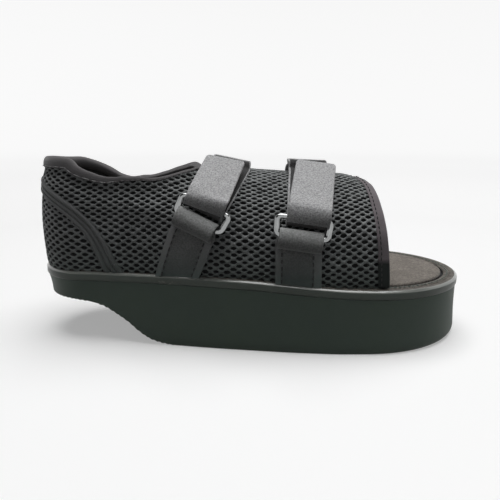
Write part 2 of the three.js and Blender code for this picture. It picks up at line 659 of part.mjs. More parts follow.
for (const part of FASTENINGS) {
  const x = part.ringX * LENGTH;
  const t = tAtUp((part.ringUp * ANKLE * 0.93) / stationAt(uNear(x)).high);
  const f = frameAt(x, t, part.turn);
  const bar = RING_BAR / 2;
  const strapTurn = bar + 1.5 * GAP + STRAP_THICK / 2;
  const tabTurn = bar + 1.5 * GAP + TAB_THICK / 2;
  const stand = strapTurn + STRAP_THICK / 2 + 1.8;
  const middle = f.p.clone().addScaledVector(f.n, stand);
  const halfHigh = (RING_HIGH - RING_BAR) / 2;
  const halfWide = (RING_WIDE - RING_BAR) / 2;
  // Ring
  const corner = 3;
  const loops = [];
  const quarter = [[1, 1], [-1, 1], [-1, -1], [1, -1]];
  quarter.forEach(([sx, sy], q) => {
    for (let i = 0; i <= 4; i++) {
      const a = (q + i / 4) * (Math.PI / 2);
      const px = sx * (halfWide - corner) + corner * Math.cos(a);
      const py = sy * (halfHigh - corner) + corner * Math.sin(a);
      const c = middle.clone().addScaledVector(f.w, px).addScaledVector(f.v, py);
      const out = f.w.clone().multiplyScalar(Math.cos(a)).addScaledVector(f.v, Math.sin(a));
      const loop = [];
      for (let k = 0; k < 8; k++) {
        const b = (k + 0.5) * (Math.PI / 4);
        loop.push(c.clone().addScaledVector(out, bar * Math.cos(b)).addScaledVector(f.n, bar * Math.sin(b)));
      }
      loops.push(loop);
    }
  });
  add(`${part.name}_ring`, geometryOf(tube(loops, true)), 0x8a8c8c, 0.25, 0.9);

  // Tab: up the side, round the lower bar and a short way down
  const lower = middle.clone().addScaledVector(f.v, -halfHigh);
  const tab = [];
  const tabX = part.tabX * LENGTH;
  const lowerFoot = lower.clone().addScaledVector(f.n, -stand);
  const barX = lowerFoot.x;
  const tBar = tOf(lowerFoot);
  const tabFlat = 0.9 + TAB_THICK / 2;
  for (let i = 0; i <= 8; i++) {
    const s = 0.93 * (i / 8);
    const g = frameAt(mix(tabX, barX, s), mix(0.035, tBar, s), part.turn * s);
    const c = g.p.clone().addScaledVector(g.n, mix(tabFlat, stand - tabTurn, s * s));
    tab.push({ c, w: g.w.lerp(f.w, s * s).normalize() });
  }
  tab.push(...fold(lower, f, tabTurn, false));
  // Columns: share of the way down to the foot, share of the height of the roll
  for (const [s, high] of [[0.08, 0.97], [0.16, 0.8], [0.24, 0.45], [0.31, 0.05]]) {
    const g = frameAt(mix(barX, tabX, s), mix(tBar, 0.035, s), part.turn * (1 - s));
    const off = mix(tabFlat + TAB_THICK + 0.6, stand + tabTurn, high);
    tab.push({ c: g.p.clone().addScaledVector(g.n, off), w: f.w.clone().lerp(g.w, s).normalize() });
  }
  add(`${part.name}_tab`, geometryOf(ribbon(tab, WEBBING, TAB_THICK)), 0x3d4040, 0.9);

  // Strap: from the far foot over the instep, round the upper bar and back to the crown
  const upperBar = middle.clone().addScaledVector(f.v, halfHigh);
  const strap = [];
  const crownX = part.crownX * LENGTH;
  const farX = part.farX * LENGTH;
  const crownOff = GAP + 2.2 + part.lift + STRAP_THICK / 2;
  for (let i = 0; i <= 10; i++) {
    const s = i / 11;
    const g = frameAt(mix(farX, crownX, s), mix(0.035, 1, s), 0, false);
    const k = Math.min(1, Math.max(0, (s - 0.4) / 0.4));
    const off = mix(0.9 + STRAP_THICK / 2, FLAP_STEP + crownOff, k * k * (3 - 2 * k));
    strap.push({ c: g.p.clone().addScaledVector(g.n, off), w: g.w });
  }
  const upperFoot = upperBar.clone().addScaledVector(f.n, -stand);
  const tTop = tOf(upperFoot);
  for (let i = 0; i <= 9; i++) {
    const s = 0.95 * (i / 9);
    const g = frameAt(mix(crownX, upperFoot.x, s), mix(1, tTop, s), part.turn * s);
    const c = g.p.clone().addScaledVector(g.n, mix(crownOff, stand - strapTurn, s));
    strap.push({ c, w: g.w.lerp(f.w, s * s).normalize() });
  }
  strap.push(...fold(upperBar, f, strapTurn, true));
  const endX = part.endX * LENGTH;
  for (let i = 1; i <= 9; i++) {
    const s = i / 9;
    const g = frameAt(mix(upperFoot.x, endX, s), mix(tTop, 0.985, s), part.turn * (1 - s));
    const off = mix(stand + strapTurn, crownOff + STRAP_THICK + 0.5, Math.pow(s, 0.7));
    strap.push({ c: g.p.clone().addScaledVector(g.n, off), w: f.w.clone().lerp(g.w, Math.min(1, 2 * s)).normalize() });
  }
  add(`${part.name}_strap`, geometryOf(ribbon(strap, WEBBING, STRAP_THICK, 1.5)), 0x55585a, 0.85);
}

export default group;
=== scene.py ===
import math

import bmesh
import bpy
import numpy as np
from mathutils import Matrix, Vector


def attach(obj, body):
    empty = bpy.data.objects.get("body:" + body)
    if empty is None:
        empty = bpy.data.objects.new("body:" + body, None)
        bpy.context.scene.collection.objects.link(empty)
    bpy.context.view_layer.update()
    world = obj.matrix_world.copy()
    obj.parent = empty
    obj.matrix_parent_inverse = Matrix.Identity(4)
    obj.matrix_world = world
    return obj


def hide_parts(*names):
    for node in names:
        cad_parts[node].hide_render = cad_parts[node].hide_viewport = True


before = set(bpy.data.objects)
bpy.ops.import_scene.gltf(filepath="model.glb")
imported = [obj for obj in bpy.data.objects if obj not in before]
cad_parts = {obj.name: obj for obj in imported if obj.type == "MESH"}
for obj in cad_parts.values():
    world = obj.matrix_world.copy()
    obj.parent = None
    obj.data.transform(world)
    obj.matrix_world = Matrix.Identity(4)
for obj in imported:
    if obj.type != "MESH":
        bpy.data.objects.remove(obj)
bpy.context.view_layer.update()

# Named sizes in millimetres, the same as the solids have. x runs from the back of the heel to the toe
MM = 0.001
LENGTH = 289
BALL_WIDTH = 107
HEEL_WIDTH = 69
TOE_REACH = 70
HEEL_RIM = 49.6
TOE_RIM = 42.4
HEEL_LIFT = 30.2
LAYER = 5.8
LAYER_PROUD = 0.7
LEDGE = 8.4
RECESS = 2.4
INSOLE_GROOVE = 1.3
INSOLE_PROUD = 1.0
GAP = 0.3
SEAT = 0.4
ROLL_GAP = 0.42
WALL = 3
ANKLE = 61.5
INSTEP = 66
FLAP_STEP = 6.9
FRONT_LEAN = 9
FRONT_X = 0.794 * LENGTH
FAN_X = 0.207 * LENGTH
WEBBING = 27
STRAP_THICK = 1.8
TAB_THICK = 1.6
RING_WIDE = 37
RING_HIGH = 15.5
RING_BAR = 4
SLOT_WIDE = 3
SLOT_DEEP = 1.6
HALF_BALL = BALL_WIDTH / 2
HEEL_R = HEEL_WIDTH / 2
TOE_X = LENGTH - TOE_REACH

# Sizes that only the visual has: insole, holes and ribs of the mesh, stitches
INSOLE_TRIM = 0.4
INSOLE_EDGE = 1.5
HOLE_PITCH = 7.1
HOLE_ROW = 2.3
HOLE_WIDE = 3.9
HOLE_HIGH = 2.15
RIB_PROUD = 0.6
LINING_DEPTH = 1.7
STITCH = 2.2
STITCH_GAP = 1.1
THREAD = 0.34
# The painted highlight along the seam round the heel, a light grey thread line, ends at this x, and the seams
# at the far ends of the straps are this long
HEEL_HIGHLIGHT_END = 60
FAR_SEAM = 22

# Ring: less width than the solid at each side, a small move, corners, bars and arms
RING_TRIM = 0.7
RING_MOVE = 0.5
RING_CORNER = 2.9
RING_FLARE = 0.03
BAR_RADIUS = 1.7
ARM_WIDE = 2.1
ARM_DEEP = 1.6
RING_HALF_WIDE = (RING_WIDE - RING_BAR) / 2 - RING_TRIM
RING_HALF_HIGH = (RING_HIGH - RING_BAR) / 2

# Webbing: widths, height over the skin where it is sewn down, and rows of its quarter turn round a bar
STRAP_WIDE = 26.2
TAB_ROLL_WIDE = 26.6
TAB_WIDER = 0.9
SEWN_HIGH = 0.9
TURN_ROWS = 24
TAB_TURN = 12
STRAP_TURN = 13
# rows into the crest after which the strap's under layer is painted dark as shade
SHADE_AFTER = 27

# Floor and backdrop, in metres, and the grey of the backdrop's own glow by share of its reach
FLOOR_FLAT = 2.0
FLOOR_CURVE = 1.2
BACKDROP = 3.2
GLOW = ((0.0, 0.34), (0.15, 0.37), (0.31, 0.54), (0.5, 0.72), (0.7, 0.83), (1.0, 0.89))


# Smooth curve through rows of (place, value), flat at both ends
def curve(rows):
    xs, ys = np.array(rows, float).T
    slope = np.diff(ys) / np.diff(xs)
    turn = np.zeros(len(xs))
    same = slope[:-1] * slope[1:] > 0
    total = np.where(same, slope[:-1] + slope[1:], 1)
    turn[1:-1] = np.where(same, 2 * slope[:-1] * slope[1:] / total, 0)

    def at(x):
        x = np.clip(x, xs[0], xs[-1])
        i = np.clip(np.searchsorted(xs, x, side="right") - 1, 0, len(xs) - 2)
        h = xs[i + 1] - xs[i]
        s = (x - xs[i]) / h
        rise = (1 + 2 * s) * (1 - s) ** 2 * ys[i] + s * s * (3 - 2 * s) * ys[i + 1]
        return rise + h * (s * (1 - s) ** 2 * turn[i] + s * s * (s - 1) * turn[i + 1])

    return at


def mix(a, b, s):
    return a + (b - a) * s


def smooth(x):
    x = np.clip(x, 0, 1)
    return x * x * (3 - 2 * x)


def unit(v):
    v = np.asarray(v, float)
    return v / np.maximum(np.linalg.norm(v, axis=-1, keepdims=True), 1e-9)


# Half width of the sole, height of its top edge and its underside, by share of length
side_share = curve([
    (0.119, 0.639), (0.207, 0.694), (0.297, 0.759), (0.41, 0.852),
    (0.5, 0.912), (0.61, 0.974), (0.7, 1), (0.7586, 1),
])
rim_share = curve([
    (0, 0), (0.2, 0.02), (0.28, 0.04), (0.383, 0.1), (0.493, 0.24), (0.64, 0.66),
    (0.717, 0.86), (0.79, 0.93), (0.88, 0.97), (1, 1),
])
lift_share = curve([
    (0, 1), (0.052, 1), (0.11, 0.965), (0.153, 0.854), (0.184, 0.689), (0.216, 0.47),
    (0.235, 0.3), (0.267, 0.1), (0.296, 0.025), (0.32, 0),
])


def side_width(x):
    base = side_share(x / LENGTH) * HALF_BALL
    return np.where(x < HEEL_R * 1.6, np.maximum(base, HEEL_R), base)


def rim(x):
    return HEEL_RIM + (TOE_RIM - HEEL_RIM) * rim_share(x / LENGTH)


def underside(x):
    return HEEL_LIFT * lift_share(x / LENGTH)


# One material, with short calls for the few kinds of node that the shoe and the floor use
class Shader:
    def __init__(self, name):
        self.mat = bpy.data.materials.new(name)
        self.mat.use_nodes = True
        self.tree = self.mat.node_tree
        self.bsdf = self.tree.nodes["Principled BSDF"]

    # Inputs are numbers, colours or the outputs of other nodes
    def fill(self, node, inputs):
        for key, value in inputs.items():
            if isinstance(value, bpy.types.NodeSocket):
                self.tree.links.new(value, node.inputs[key])
            else:
                node.inputs[key].default_value = value

    def finish(self, **inputs):
        self.fill(self.bsdf, {key.replace("_", " "): value for key, value in inputs.items()})
        return self.mat

    def node(self, kind, inputs, output, **settings):
        node = self.tree.nodes.new("ShaderNode" + kind)
        for key, value in settings.items():
            setattr(node, key, value)
        self.fill(node, inputs)
        return node.outputs[output]

    def coords(self):
        return self.node("TexCoord", {}, "Object")

    def place(self, scale=(1, 1, 1)):
        return self.node("Mapping", {"Vector": self.coords(), "Scale": scale}, "Vector")

    def noise(self, vector, scale, detail=4.0, rough=0.55):
        inputs = {"Vector": vector, "Scale": scale, "Detail": detail, "Roughness": rough}
        return self.node("TexNoise", inputs, "Fac")

    def ramp(self, factor, stops):
        ramp = self.tree.nodes.new("ShaderNodeValToRGB")
        while len(ramp.color_ramp.elements) < len(stops):
            ramp.color_ramp.elements.new(0.5)
        for element, (place, colour) in zip(ramp.color_ramp.elements, stops):
            element.position = place
            element.color = (*colour, 1)
        self.fill(ramp, {"Fac": factor})
        return ramp.outputs["Color"]

    def bump(self, height, strength, distance):
        return self.node("Bump", {"Height": height, "Strength": strength, "Distance": distance}, "Normal")

    def span(self, value, low, high, to_low, to_high):
        inputs = {"Value": value, "From Min": low, "From Max": high, "To Min": to_low, "To Max": to_high}
        return self.node("MapRange", inputs, "Result")

    # Colour mix: inputs 6 and 7 and output 2 are the colour ones
    def tint(self, factor, first, second):
        first, second = ((*c, 1) if isinstance(c, tuple) else c for c in (first, second))
        return self.node("Mix", {0: factor, 6: first, 7: second}, 2, data_type="RGBA")

    def vector_math(self, operation, inputs, output="Vector"):
        return self.node("VectorMath", dict(enumerate(inputs)), output, operation=operation)

    def scalar_math(self, operation, first, second):
        return self.node("Math", {0: first, 1: second}, "Value", operation=operation)


# Cloth, felt or rough foam with a mottled colour and a fine grain
# low is a darker, greener colour below heights between low_from and low_to: on most cloth it is painted shade
# at the foot of the shoe, on the toe binding the colour of its dark patch
def soft_material(name, dark, light, low=None, grain=900, patch=60, rough=0.85, bump=0.35, depth=0.0003,
                  sheen=0.0, sheen_rough=0.5, specular=0.5, low_from=0.05, low_to=0.085, speckle=0.35):
    shader = Shader(name)
    vector = shader.place()
    patches = shader.noise(vector, patch)
    fine = shader.noise(vector, grain, 2.0, 0.6)
    colour = shader.ramp(patches, [(0.3, dark), (0.7, light)])
    colour = shader.tint(shader.span(fine, 0.35, 0.65, 0.0, speckle), colour, tuple(0.55 * c for c in dark))
    # painted shade: the colour turns to low towards the foot of the shoe
    if low is not None:
        height = shader.node("SeparateXYZ", {"Vector": shader.coords()}, "Z")
        colour = shader.tint(shader.span(height, low_from, low_to, 0.0, 1.0), low, colour)
    return shader.finish(
        Base_Color=colour, Roughness=shader.span(patches, 0.3, 0.7, rough - 0.06, rough + 0.06),
        Normal=shader.bump(fine, bump, depth), Sheen_Weight=sheen, Sheen_Roughness=sheen_rough,
        Specular_IOR_Level=specular,
    )


# Moulded foam of the sole with faint scratches. scuff is the middle and the reach of a torn patch
def foam_material(name, dark, light, rough, scuff=None, coat=0.0):
    shader = Shader(name)
    vector = shader.place()
    patches = shader.noise(vector, 26)
    fine = shader.noise(vector, 1500, 2.0, 0.5)
    scratch = shader.noise(shader.place((14, 14, 160)), 5.0, 3.0, 0.7)
    colour = shader.ramp(patches, [(0.3, dark), (0.7, light)])
    marks = shader.span(scratch, 0.68, 0.8, 0.0, 0.25)
    colour = shader.tint(marks, colour, tuple(2.2 * c for c in light))
    if scuff is not None:
        middle, reach = scuff
        away_from = shader.vector_math("SUBTRACT", [shader.coords(), middle])
        far = shader.vector_math("LENGTH", [shader.vector_math("DIVIDE", [away_from, reach])], "Value")
        spot = shader.span(far, 0.2, 1.0, 1.0, 0.0)
        torn = shader.span(shader.noise(vector, 420, 3.0, 0.7), 0.48, 0.6, 0.0, 1.0)
        colour = shader.tint(shader.scalar_math("MULTIPLY", spot, torn), colour, (0.2, 0.2, 0.18))
    return shader.finish(
        Base_Color=colour, Roughness=shader.span(patches, 0.3, 0.7, rough - 0.05, rough + 0.06),
        Normal=shader.bump(fine, 0.12, 0.0002), Specular_IOR_Level=0.3, Coat_Weight=coat, Coat_Roughness=0.22,
    )


def metal_material(name, dark, light):
    shader = Shader(name)
    vector = shader.place()
    patches = shader.noise(vector, 180)
    fine = shader.noise(vector, 1200, 2.0, 0.5)
    return shader.finish(
        Base_Color=shader.ramp(patches, [(0.3, dark), (0.7, light)]), Metallic=1.0,
        Roughness=shader.span(patches, 0.3, 0.7, 0.13, 0.17), Normal=shader.bump(fine, 0.03, 0.00005),
    )


FOAM = foam_material("wedge_foam", (0.042, 0.064, 0.046), (0.05, 0.072, 0.058), 0.55)
SCUFF = ((-0.0556, -0.042, 0.0445), (0.009, 0.02, 0.002))
BAND = foam_material("layer_foam", (0.072, 0.09, 0.074), (0.092, 0.112, 0.094), 0.38, SCUFF)
# Lighter copy of the layer foam for its top edge: painted highlight, with a real glossy coat
LIP_HIGHLIGHT = foam_material("layer_lip_painted_highlight", (0.13, 0.14, 0.128), (0.2, 0.21, 0.19), 0.2, coat=1.0)
LEDGE_TOP = soft_material(
    "ledge_top", (0.07, 0.062, 0.054), (0.21, 0.192, 0.168), grain=650, patch=260, rough=0.7, bump=0.9,
    depth=0.0005, specular=0.25, speckle=0.8,
)
FOOTBED = soft_material(
    "footbed", (0.15, 0.13, 0.11), (0.25, 0.224, 0.195), grain=800, patch=130, rough=0.95, bump=0.9,
    depth=0.0005, sheen=0.15, speckle=0.9,
)
# The ribs turn darker and greener towards the foot (low): painted shade under the top light
RIBS = soft_material(
    "mesh_ribs", (0.108, 0.116, 0.116), (0.28, 0.292, 0.292), low=(0.065, 0.084, 0.076), grain=1600,
    patch=1000, rough=0.65, bump=0.8, depth=0.0004, sheen=0.15, low_from=0.045, low_to=0.075, speckle=0.7,
)
# Near-black for the walls of the mesh holes and for the sole's recess: painted shade in hollows
RECESS_SHADE = soft_material("painted_recess_shade", (0.012, 0.013, 0.013), (0.02, 0.021, 0.021), grain=1200, rough=0.9)
LINING = soft_material(
    "lining", (0.006, 0.0065, 0.0065), (0.012, 0.013, 0.013), grain=1200, rough=0.95, sheen=0.05,
)
BINDING = soft_material(
    "binding", (0.055, 0.051, 0.053), (0.078, 0.072, 0.075), grain=1800, rough=0.8, bump=0.45, sheen=0.25,
)
TOE_BINDING = soft_material(
    "toe_binding", (0.14, 0.122, 0.13), (0.18, 0.16, 0.169), low=(0.008, 0.011, 0.01), grain=1800,
    rough=0.8, bump=0.45, sheen=0.08, low_from=0.0595, low_to=0.0625, specular=0.2,
)
# The counter tape turns darker and greener towards the foot (low): painted shade
TAPE = soft_material(
    "tape", (0.062, 0.064, 0.065), (0.085, 0.087, 0.088), low=(0.02, 0.027, 0.024), grain=1700,
    rough=0.75, sheen=0.2, low_from=0.052, low_to=0.075,
)
# Light grey pile: partly painted sheen, dark loop pile shown as lit by the top light; the shaded copy of the
# webbing follows
STRAP = soft_material(
    "webbing_pile", (0.45, 0.45, 0.457), (0.53, 0.53, 0.538), grain=1100, patch=220, rough=0.9, bump=0.9,
    depth=0.0004, sheen=0.2, sheen_rough=0.4, speckle=1.0,
)
# Near-black for the strap's under layer: the darker back of the webbing, and painted shade where the outer
# layer covers it
STRAP_BACK_SHADE = soft_material(
    "webbing_back_painted_shade", (0.014, 0.0135, 0.0135), (0.022, 0.0215, 0.0215), grain=900, patch=220, rough=0.8,
    bump=0.8, depth=0.0005, sheen=0.2, sheen_rough=0.35, speckle=0.7,
)
# The tab turns darker and greener towards its foot (low): painted shade under the top light
TAB = soft_material(
    "webbing_tab", (0.22, 0.226, 0.222), (0.27, 0.275, 0.272), low=(0.06, 0.082, 0.075), grain=1000,
    patch=150, rough=0.85, bump=0.7, depth=0.0004, sheen=0.15, low_from=0.05, low_to=0.07, speckle=0.8,
)
# The tab's tapes turn darker towards their foot (low): painted shade
TAB_TAPE = soft_material(
    "tab_tape", (0.15, 0.153, 0.153), (0.18, 0.183, 0.183), low=(0.055, 0.075, 0.068), grain=1800,
    rough=0.7, bump=0.25, sheen=0.2, low_from=0.05, low_to=0.07,
)
THREAD_DARK = soft_material(
    "thread_dark", (0.004, 0.0045, 0.0045), (0.008, 0.0085, 0.0085), grain=3000, rough=0.8,
)
# Light grey thread: a painted highlight along the edge of the heel seam
HIGHLIGHT_THREAD = soft_material("painted_highlight_thread", (0.16, 0.16, 0.16), (0.22, 0.22, 0.22), grain=3000, rough=0.6)
METAL = metal_material("ring_metal", (0.27, 0.277, 0.277), (0.34, 0.347, 0.347))


# A mesh from points in millimetres, with x from the back of the heel
def make(name, points, faces, material):
    points = np.array(points, float).reshape(-1, 3) * MM
    points[:, 0] -= LENGTH / 2 * MM
    mesh = bpy.data.meshes.new(name)
    mesh.from_pydata(points.tolist(), [], [tuple(int(i) for i in f) for f in faces])
    mesh.validate()
    mesh.update()
    mesh.shade_smooth()
    mesh.materials.append(material)
    obj = bpy.data.objects.new(name, mesh)
    bpy.context.scene.collection.objects.link(obj)
    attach(obj, "root")
    return obj


# Turns the faces so that they look outwards, and joins points that share a place
def tidy(obj, join=0.00002, sharp=None):
    work = bmesh.new()
    work.from_mesh(obj.data)
    bmesh.ops.remove_doubles(work, verts=work.verts, dist=join)
    bmesh.ops.recalc_face_normals(work, faces=work.faces)
    work.to_mesh(obj.data)
    work.free()
    if sharp is not None:
        obj.data.set_sharp_from_angle(angle=math.radians(sharp))
    return obj


def grid_faces(rows, cols, start=0, wrap_rows=False, wrap_cols=False):
    i, j = np.meshgrid(
        np.arange(rows if wrap_rows else rows - 1), np.arange(cols if wrap_cols else cols - 1), indexing="ij"
    )
    i2 = (i + 1) % rows
    j2 = (j + 1) % cols
    quads = np.stack([i * cols + j, i * cols + j2, i2 * cols + j2, i2 * cols + j], -1)
    return (quads.reshape(-1, 4) + start).tolist()


# Outline of the sole
def half_outline():
    turn = np.linspace(0, math.pi / 2, 60)
    heel = np.stack([HEEL_R - HEEL_R * np.cos(turn), HEEL_R * np.sin(turn)], -1)
    side_x = np.linspace(0.145 * LENGTH, TOE_X, 200)
    side = np.stack([side_x, side_width(side_x)], -1)
    turn = np.linspace(0, math.pi / 2, 90)[1:]
    toe = np.stack([TOE_X + TOE_REACH * np.sin(turn), HALF_BALL * np.cos(turn)], -1)
    points = np.concatenate([heel, side, toe])
    points[-1, 1] = 0
    return points


HALF = half_outline()
HALF_COUNT = len(HALF)
LOOP = np.concatenate([HALF * (1, -1), HALF[-2:0:-1]])
RUN = unit(np.roll(LOOP, -1, 0) - np.roll(LOOP, 1, 0))


def ring(grow, height):
    x, y = LOOP.T
    g = grow(x) if callable(grow) else grow
    z = height(x) if callable(height) else height
    return np.stack([x + g * RUN[:, 1], y - g * RUN[:, 0], z + 0 * x], -1)


# Points across the shoe between the two sides of one ring, as rows from heel to toe
def cap_rows(loop, count, shape=None):
    near = loop[:HALF_COUNT]
    far = np.concatenate([loop[:1], loop[:HALF_COUNT - 1:-1], loop[HALF_COUNT - 1:HALF_COUNT]])
    share = np.linspace(0, 1, count)[None, :, None]
    rows = near[:, None] * (1 - share) + far[:, None] * share
    if shape is not None:
        rows[..., 2] += shape(rows[..., 0], rows[..., 1], np.minimum(share, 1 - share)[..., 0])
    return rows


def stacked(name, rings, material, low=None, high=None, columns=26):
    count = len(LOOP)
    points = np.concatenate(rings)
    faces = grid_faces(len(rings), count, wrap_cols=True)
    for loop, shape in ((rings[0], low), (rings[-1], high)):
        rows = cap_rows(loop, columns, shape)
        faces += grid_faces(HALF_COUNT, columns, len(points))
        points = np.concatenate([points, rows.reshape(-1, 3)])
    obj = make(name, points, faces, material)
    return tidy(obj, sharp=50)


def layer_foot(x):
    return rim(x) - LAYER


def wall_slope(x):
    return -1.7 + 3.1 * np.minimum(1, x / LENGTH)


# Radius of the round edge under the wedge: small at the heel, large at the toe
def foot_round(x):
    toe = np.maximum(0, (x / LENGTH - 0.7) / 0.3)
    return 0.6 + 1.4 * np.minimum(1, x / (0.3 * LENGTH)) + 4.6 * toe ** 1.5


# Fine tread: small steps across the ramp under the heel
def serration(x):
    on = smooth((x - 6) / 12) * smooth((0.33 * LENGTH - x) / 12)
    return 0.22 * on * np.sign(np.sin(2 * math.pi * x / 3.4))


SLOT_PLACES = (0.4, 0.46, 0.56, 0.62, 0.68, 0.74, 0.8, 0.86)


def tread(x, y, inside):
    deep = 0 * x
    for share in SLOT_PLACES:
        middle = share * LENGTH
        past = max(0.0, middle - TOE_X) / TOE_REACH
        half = (HALF_BALL * math.sqrt(1 - past * past) if past else float(side_width(middle))) - 14
        across = smooth((SLOT_WIDE / 2 + 0.4 - np.abs(x - middle)) / 0.8)
        deep = deep + SLOT_DEEP * across * smooth((half - np.abs(y)) / 1.2)
    ribs = 0.35 * smooth(np.minimum(1, inside * 12)) * (0.5 + 0.5 * np.sin(2 * math.pi * x / 3.4))
    return deep + ribs * (x > 0.3 * LENGTH)


def outsole():
    rings = []
    for step in range(7):
        a = step / 6 * math.pi / 2
        out = 1 - math.sin(a)
        up = 1 - math.cos(a)
        rings.append(ring(
            lambda x: wall_slope(x) - foot_round(x) * out,
            lambda x: np.maximum(0, underside(x) + serration(x) * (1 - up) + foot_round(x) * up),
        ))
    for step in range(1, 9):
        s = step / 8
        rings.append(ring(
            lambda x: wall_slope(x) * (1 - s) - 0.35 * math.sin(math.pi * s),
            lambda x: mix(underside(x) + foot_round(x), layer_foot(x) - GAP / 2, s),
        ))
    obj = stacked("outsole_shell", rings, FOAM, low=tread)
    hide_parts("outsole")


def sole_layer():
    rings = [
        ring(-1.2, lambda x: layer_foot(x) - 0.1),
        ring(-0.1, lambda x: layer_foot(x) - 0.05),
        ring(LAYER_PROUD - 0.25, lambda x: layer_foot(x) + 0.3),
        ring(LAYER_PROUD, lambda x: layer_foot(x) + 0.9),
        ring(LAYER_PROUD - 0.1, lambda x: rim(x) - 3.2),
    ]
    lip = [
        (0, -1.8), (0, -1.45), (-0.05, -1.2), (-0.2, -0.98), (-0.78, -0.52), (-1.35, -0.12), (-1.6, -0.02),
        (-1.9, 0),
    ]
    for inwards, down in lip:
        rings.append(ring(LAYER_PROUD + inwards, lambda x: rim(x) + down))
    ledge = [
        (-1.7, 0), (-2.4, -0.1), (-3.2, -0.05), (-3.7, -0.1), (-4.0, -0.5), (-4.4, -0.5), (-4.7, -0.1),
        (-5.3, 0.05), (-6.6, 0.1), (-7.6, 0.05), (-8.1, -0.15), (-LEDGE, -0.6), (-LEDGE - 0.1, -RECESS + 0.2),
        (-LEDGE - 0.5, -RECESS),
    ]
    for inwards, up in ledge:
        rings.append(ring(inwards, lambda x: rim(x) + up))
    obj = stacked("sole_layer_shell", rings, BAND)
    # the rings at which the lip (painted lighter as a highlight, with a real glossy coat), the top of the
    # ledge and the recess (painted near-black as shade) start
    starts = [(LIP_HIGHLIGHT, 7), (LEDGE_TOP, 12), (RECESS_SHADE, 24)]
    for material, _ in starts:
        obj.data.materials.append(material)
    for face in obj.data.polygons:
        step = face.index // len(LOOP)
        face.material_index = sum(step >= start for _, start in starts)
    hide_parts("sole_layer")


def insole():
    edge = -LEDGE - INSOLE_GROOVE - INSOLE_TRIM

    def foot(x):
        return rim(x) - RECESS + GAP

    rings = [ring(edge - 0.6, foot), ring(edge, lambda x: foot(x) + 0.6)]
    for step in range(7):
        a = step / 6 * math.pi / 2
        inwards, down = INSOLE_EDGE * (1 - math.cos(a)), INSOLE_EDGE * (1 - math.sin(a))
        rings.append(ring(edge - inwards, lambda x: rim(x) + INSOLE_PROUD - down))

    def shape(x, y, inside):
        waves = np.sin(x / 9 + 1.3) * np.sin(y / 7 + 0.4) + 0.6 * np.sin(x / 4.1 + y / 5.3)
        return smooth(np.minimum(1, inside * 8)) * (0.12 * waves - 0.25)

    obj = stacked("insole_pad", rings, FOOTBED, high=shape, columns=48)
    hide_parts("insole")


# Section of the upper over one side: share of half width, share of crown height
SECTION = [
    (1, 0), (1.004, 0.16), (0.985, 0.32), (0.94, 0.46), (0.85, 0.6),
    (0.69, 0.745), (0.46, 0.88), (0.23, 0.965), (0, 1),
]
ARCH = np.array(SECTION + [(-out, up) for out, up in SECTION[-2::-1]])
GHOST = np.array([[2 * ARCH[0, 0] - ARCH[1, 0], -ARCH[1, 1]]])
ARCH = np.concatenate([GHOST, ARCH, GHOST * (-1, 1)])
STEPS = len(SECTION) - 1
FOOT_SLOPE = STEPS * SECTION[1][1]


# Smooth curve through four points in a row: the place between the second and the third at share s
def between(a, b, d, e, s):
    square, cube = 2 * a - 5 * b + 4 * d - e, 3 * b - a - 3 * d + e
    return 0.5 * (2 * b + (d - a) * s + square * s * s + cube * s ** 3)


# Point of the section at t, where 0 is the foot, 1 the crown and 2 the other foot
def arch(t):
    t = np.asarray(t, float)
    f = np.clip(t, 0, 2) * STEPS
    i = np.clip(np.floor(f).astype(int), 0, len(ARCH) - 4)
    p = between(*(ARCH[i + k] for k in range(4)), (f - i)[..., None])
    return p[..., 0], p[..., 1] + np.minimum(t, 0) * FOOT_SLOPE


T_FINE = np.linspace(0, 2, 4001)
OUT_FINE, UP_FINE = arch(T_FINE)


def t_at_out(share):
    inside = (T_FINE > 0.2) & (T_FINE < 1.8)
    return np.interp(-np.asarray(share, float), -OUT_FINE[inside], T_FINE[inside])


def t_at_up(share):
    rising = T_FINE <= 1
    return np.interp(share, UP_FINE[rising], T_FINE[rising])


inset = curve([(0, 0.5), (0.06, 0.8), (0.2, 2), (0.34, 2.8), (0.6, 3.6), (0.8, 4.8)])


def foot_width(x):
    return side_width(x) - inset(x / LENGTH)


# Collar and flap edges: share of length, share of half ball width, share of ankle height above the sole
NEAR_EDGE = [
    (0.207, 0.578, 0.975), (0.232, 0.574, 0.977), (0.257, 0.567, 0.977), (0.285, 0.531, 0.965),
    (0.313, 0.472, 0.985), (0.342, 0.394, 1.025), (0.371, 0.272, 1.055),
]
FAR_EDGE = [
    (0.207, 0.58, 0.887), (0.237, 0.574, 0.9), (0.28, 0.537, 0.955), (0.319, 0.457, 1.02),
    (0.349, 0.365, 1.07),
]
NEAR_CROWN = [
    (0.395, 1.03), (0.43, 0.997), (0.47, 0.985), (0.52, 0.977), (0.586, 0.98), (0.655, 0.99),
    (0.73, 0.995), (0.766, 0.973), (0.7966, 0.94),
]


def crown_rows(edge, drop):
    rows = []
    for place, wide, high in edge:
        share = wide * HALF_BALL / foot_width(place * LENGTH)
        rows.append((place, float(high * ANKLE / arch(t_at_out(share))[1])))
    return rows + [(place, high * INSTEP - drop) for place, high in NEAR_CROWN]


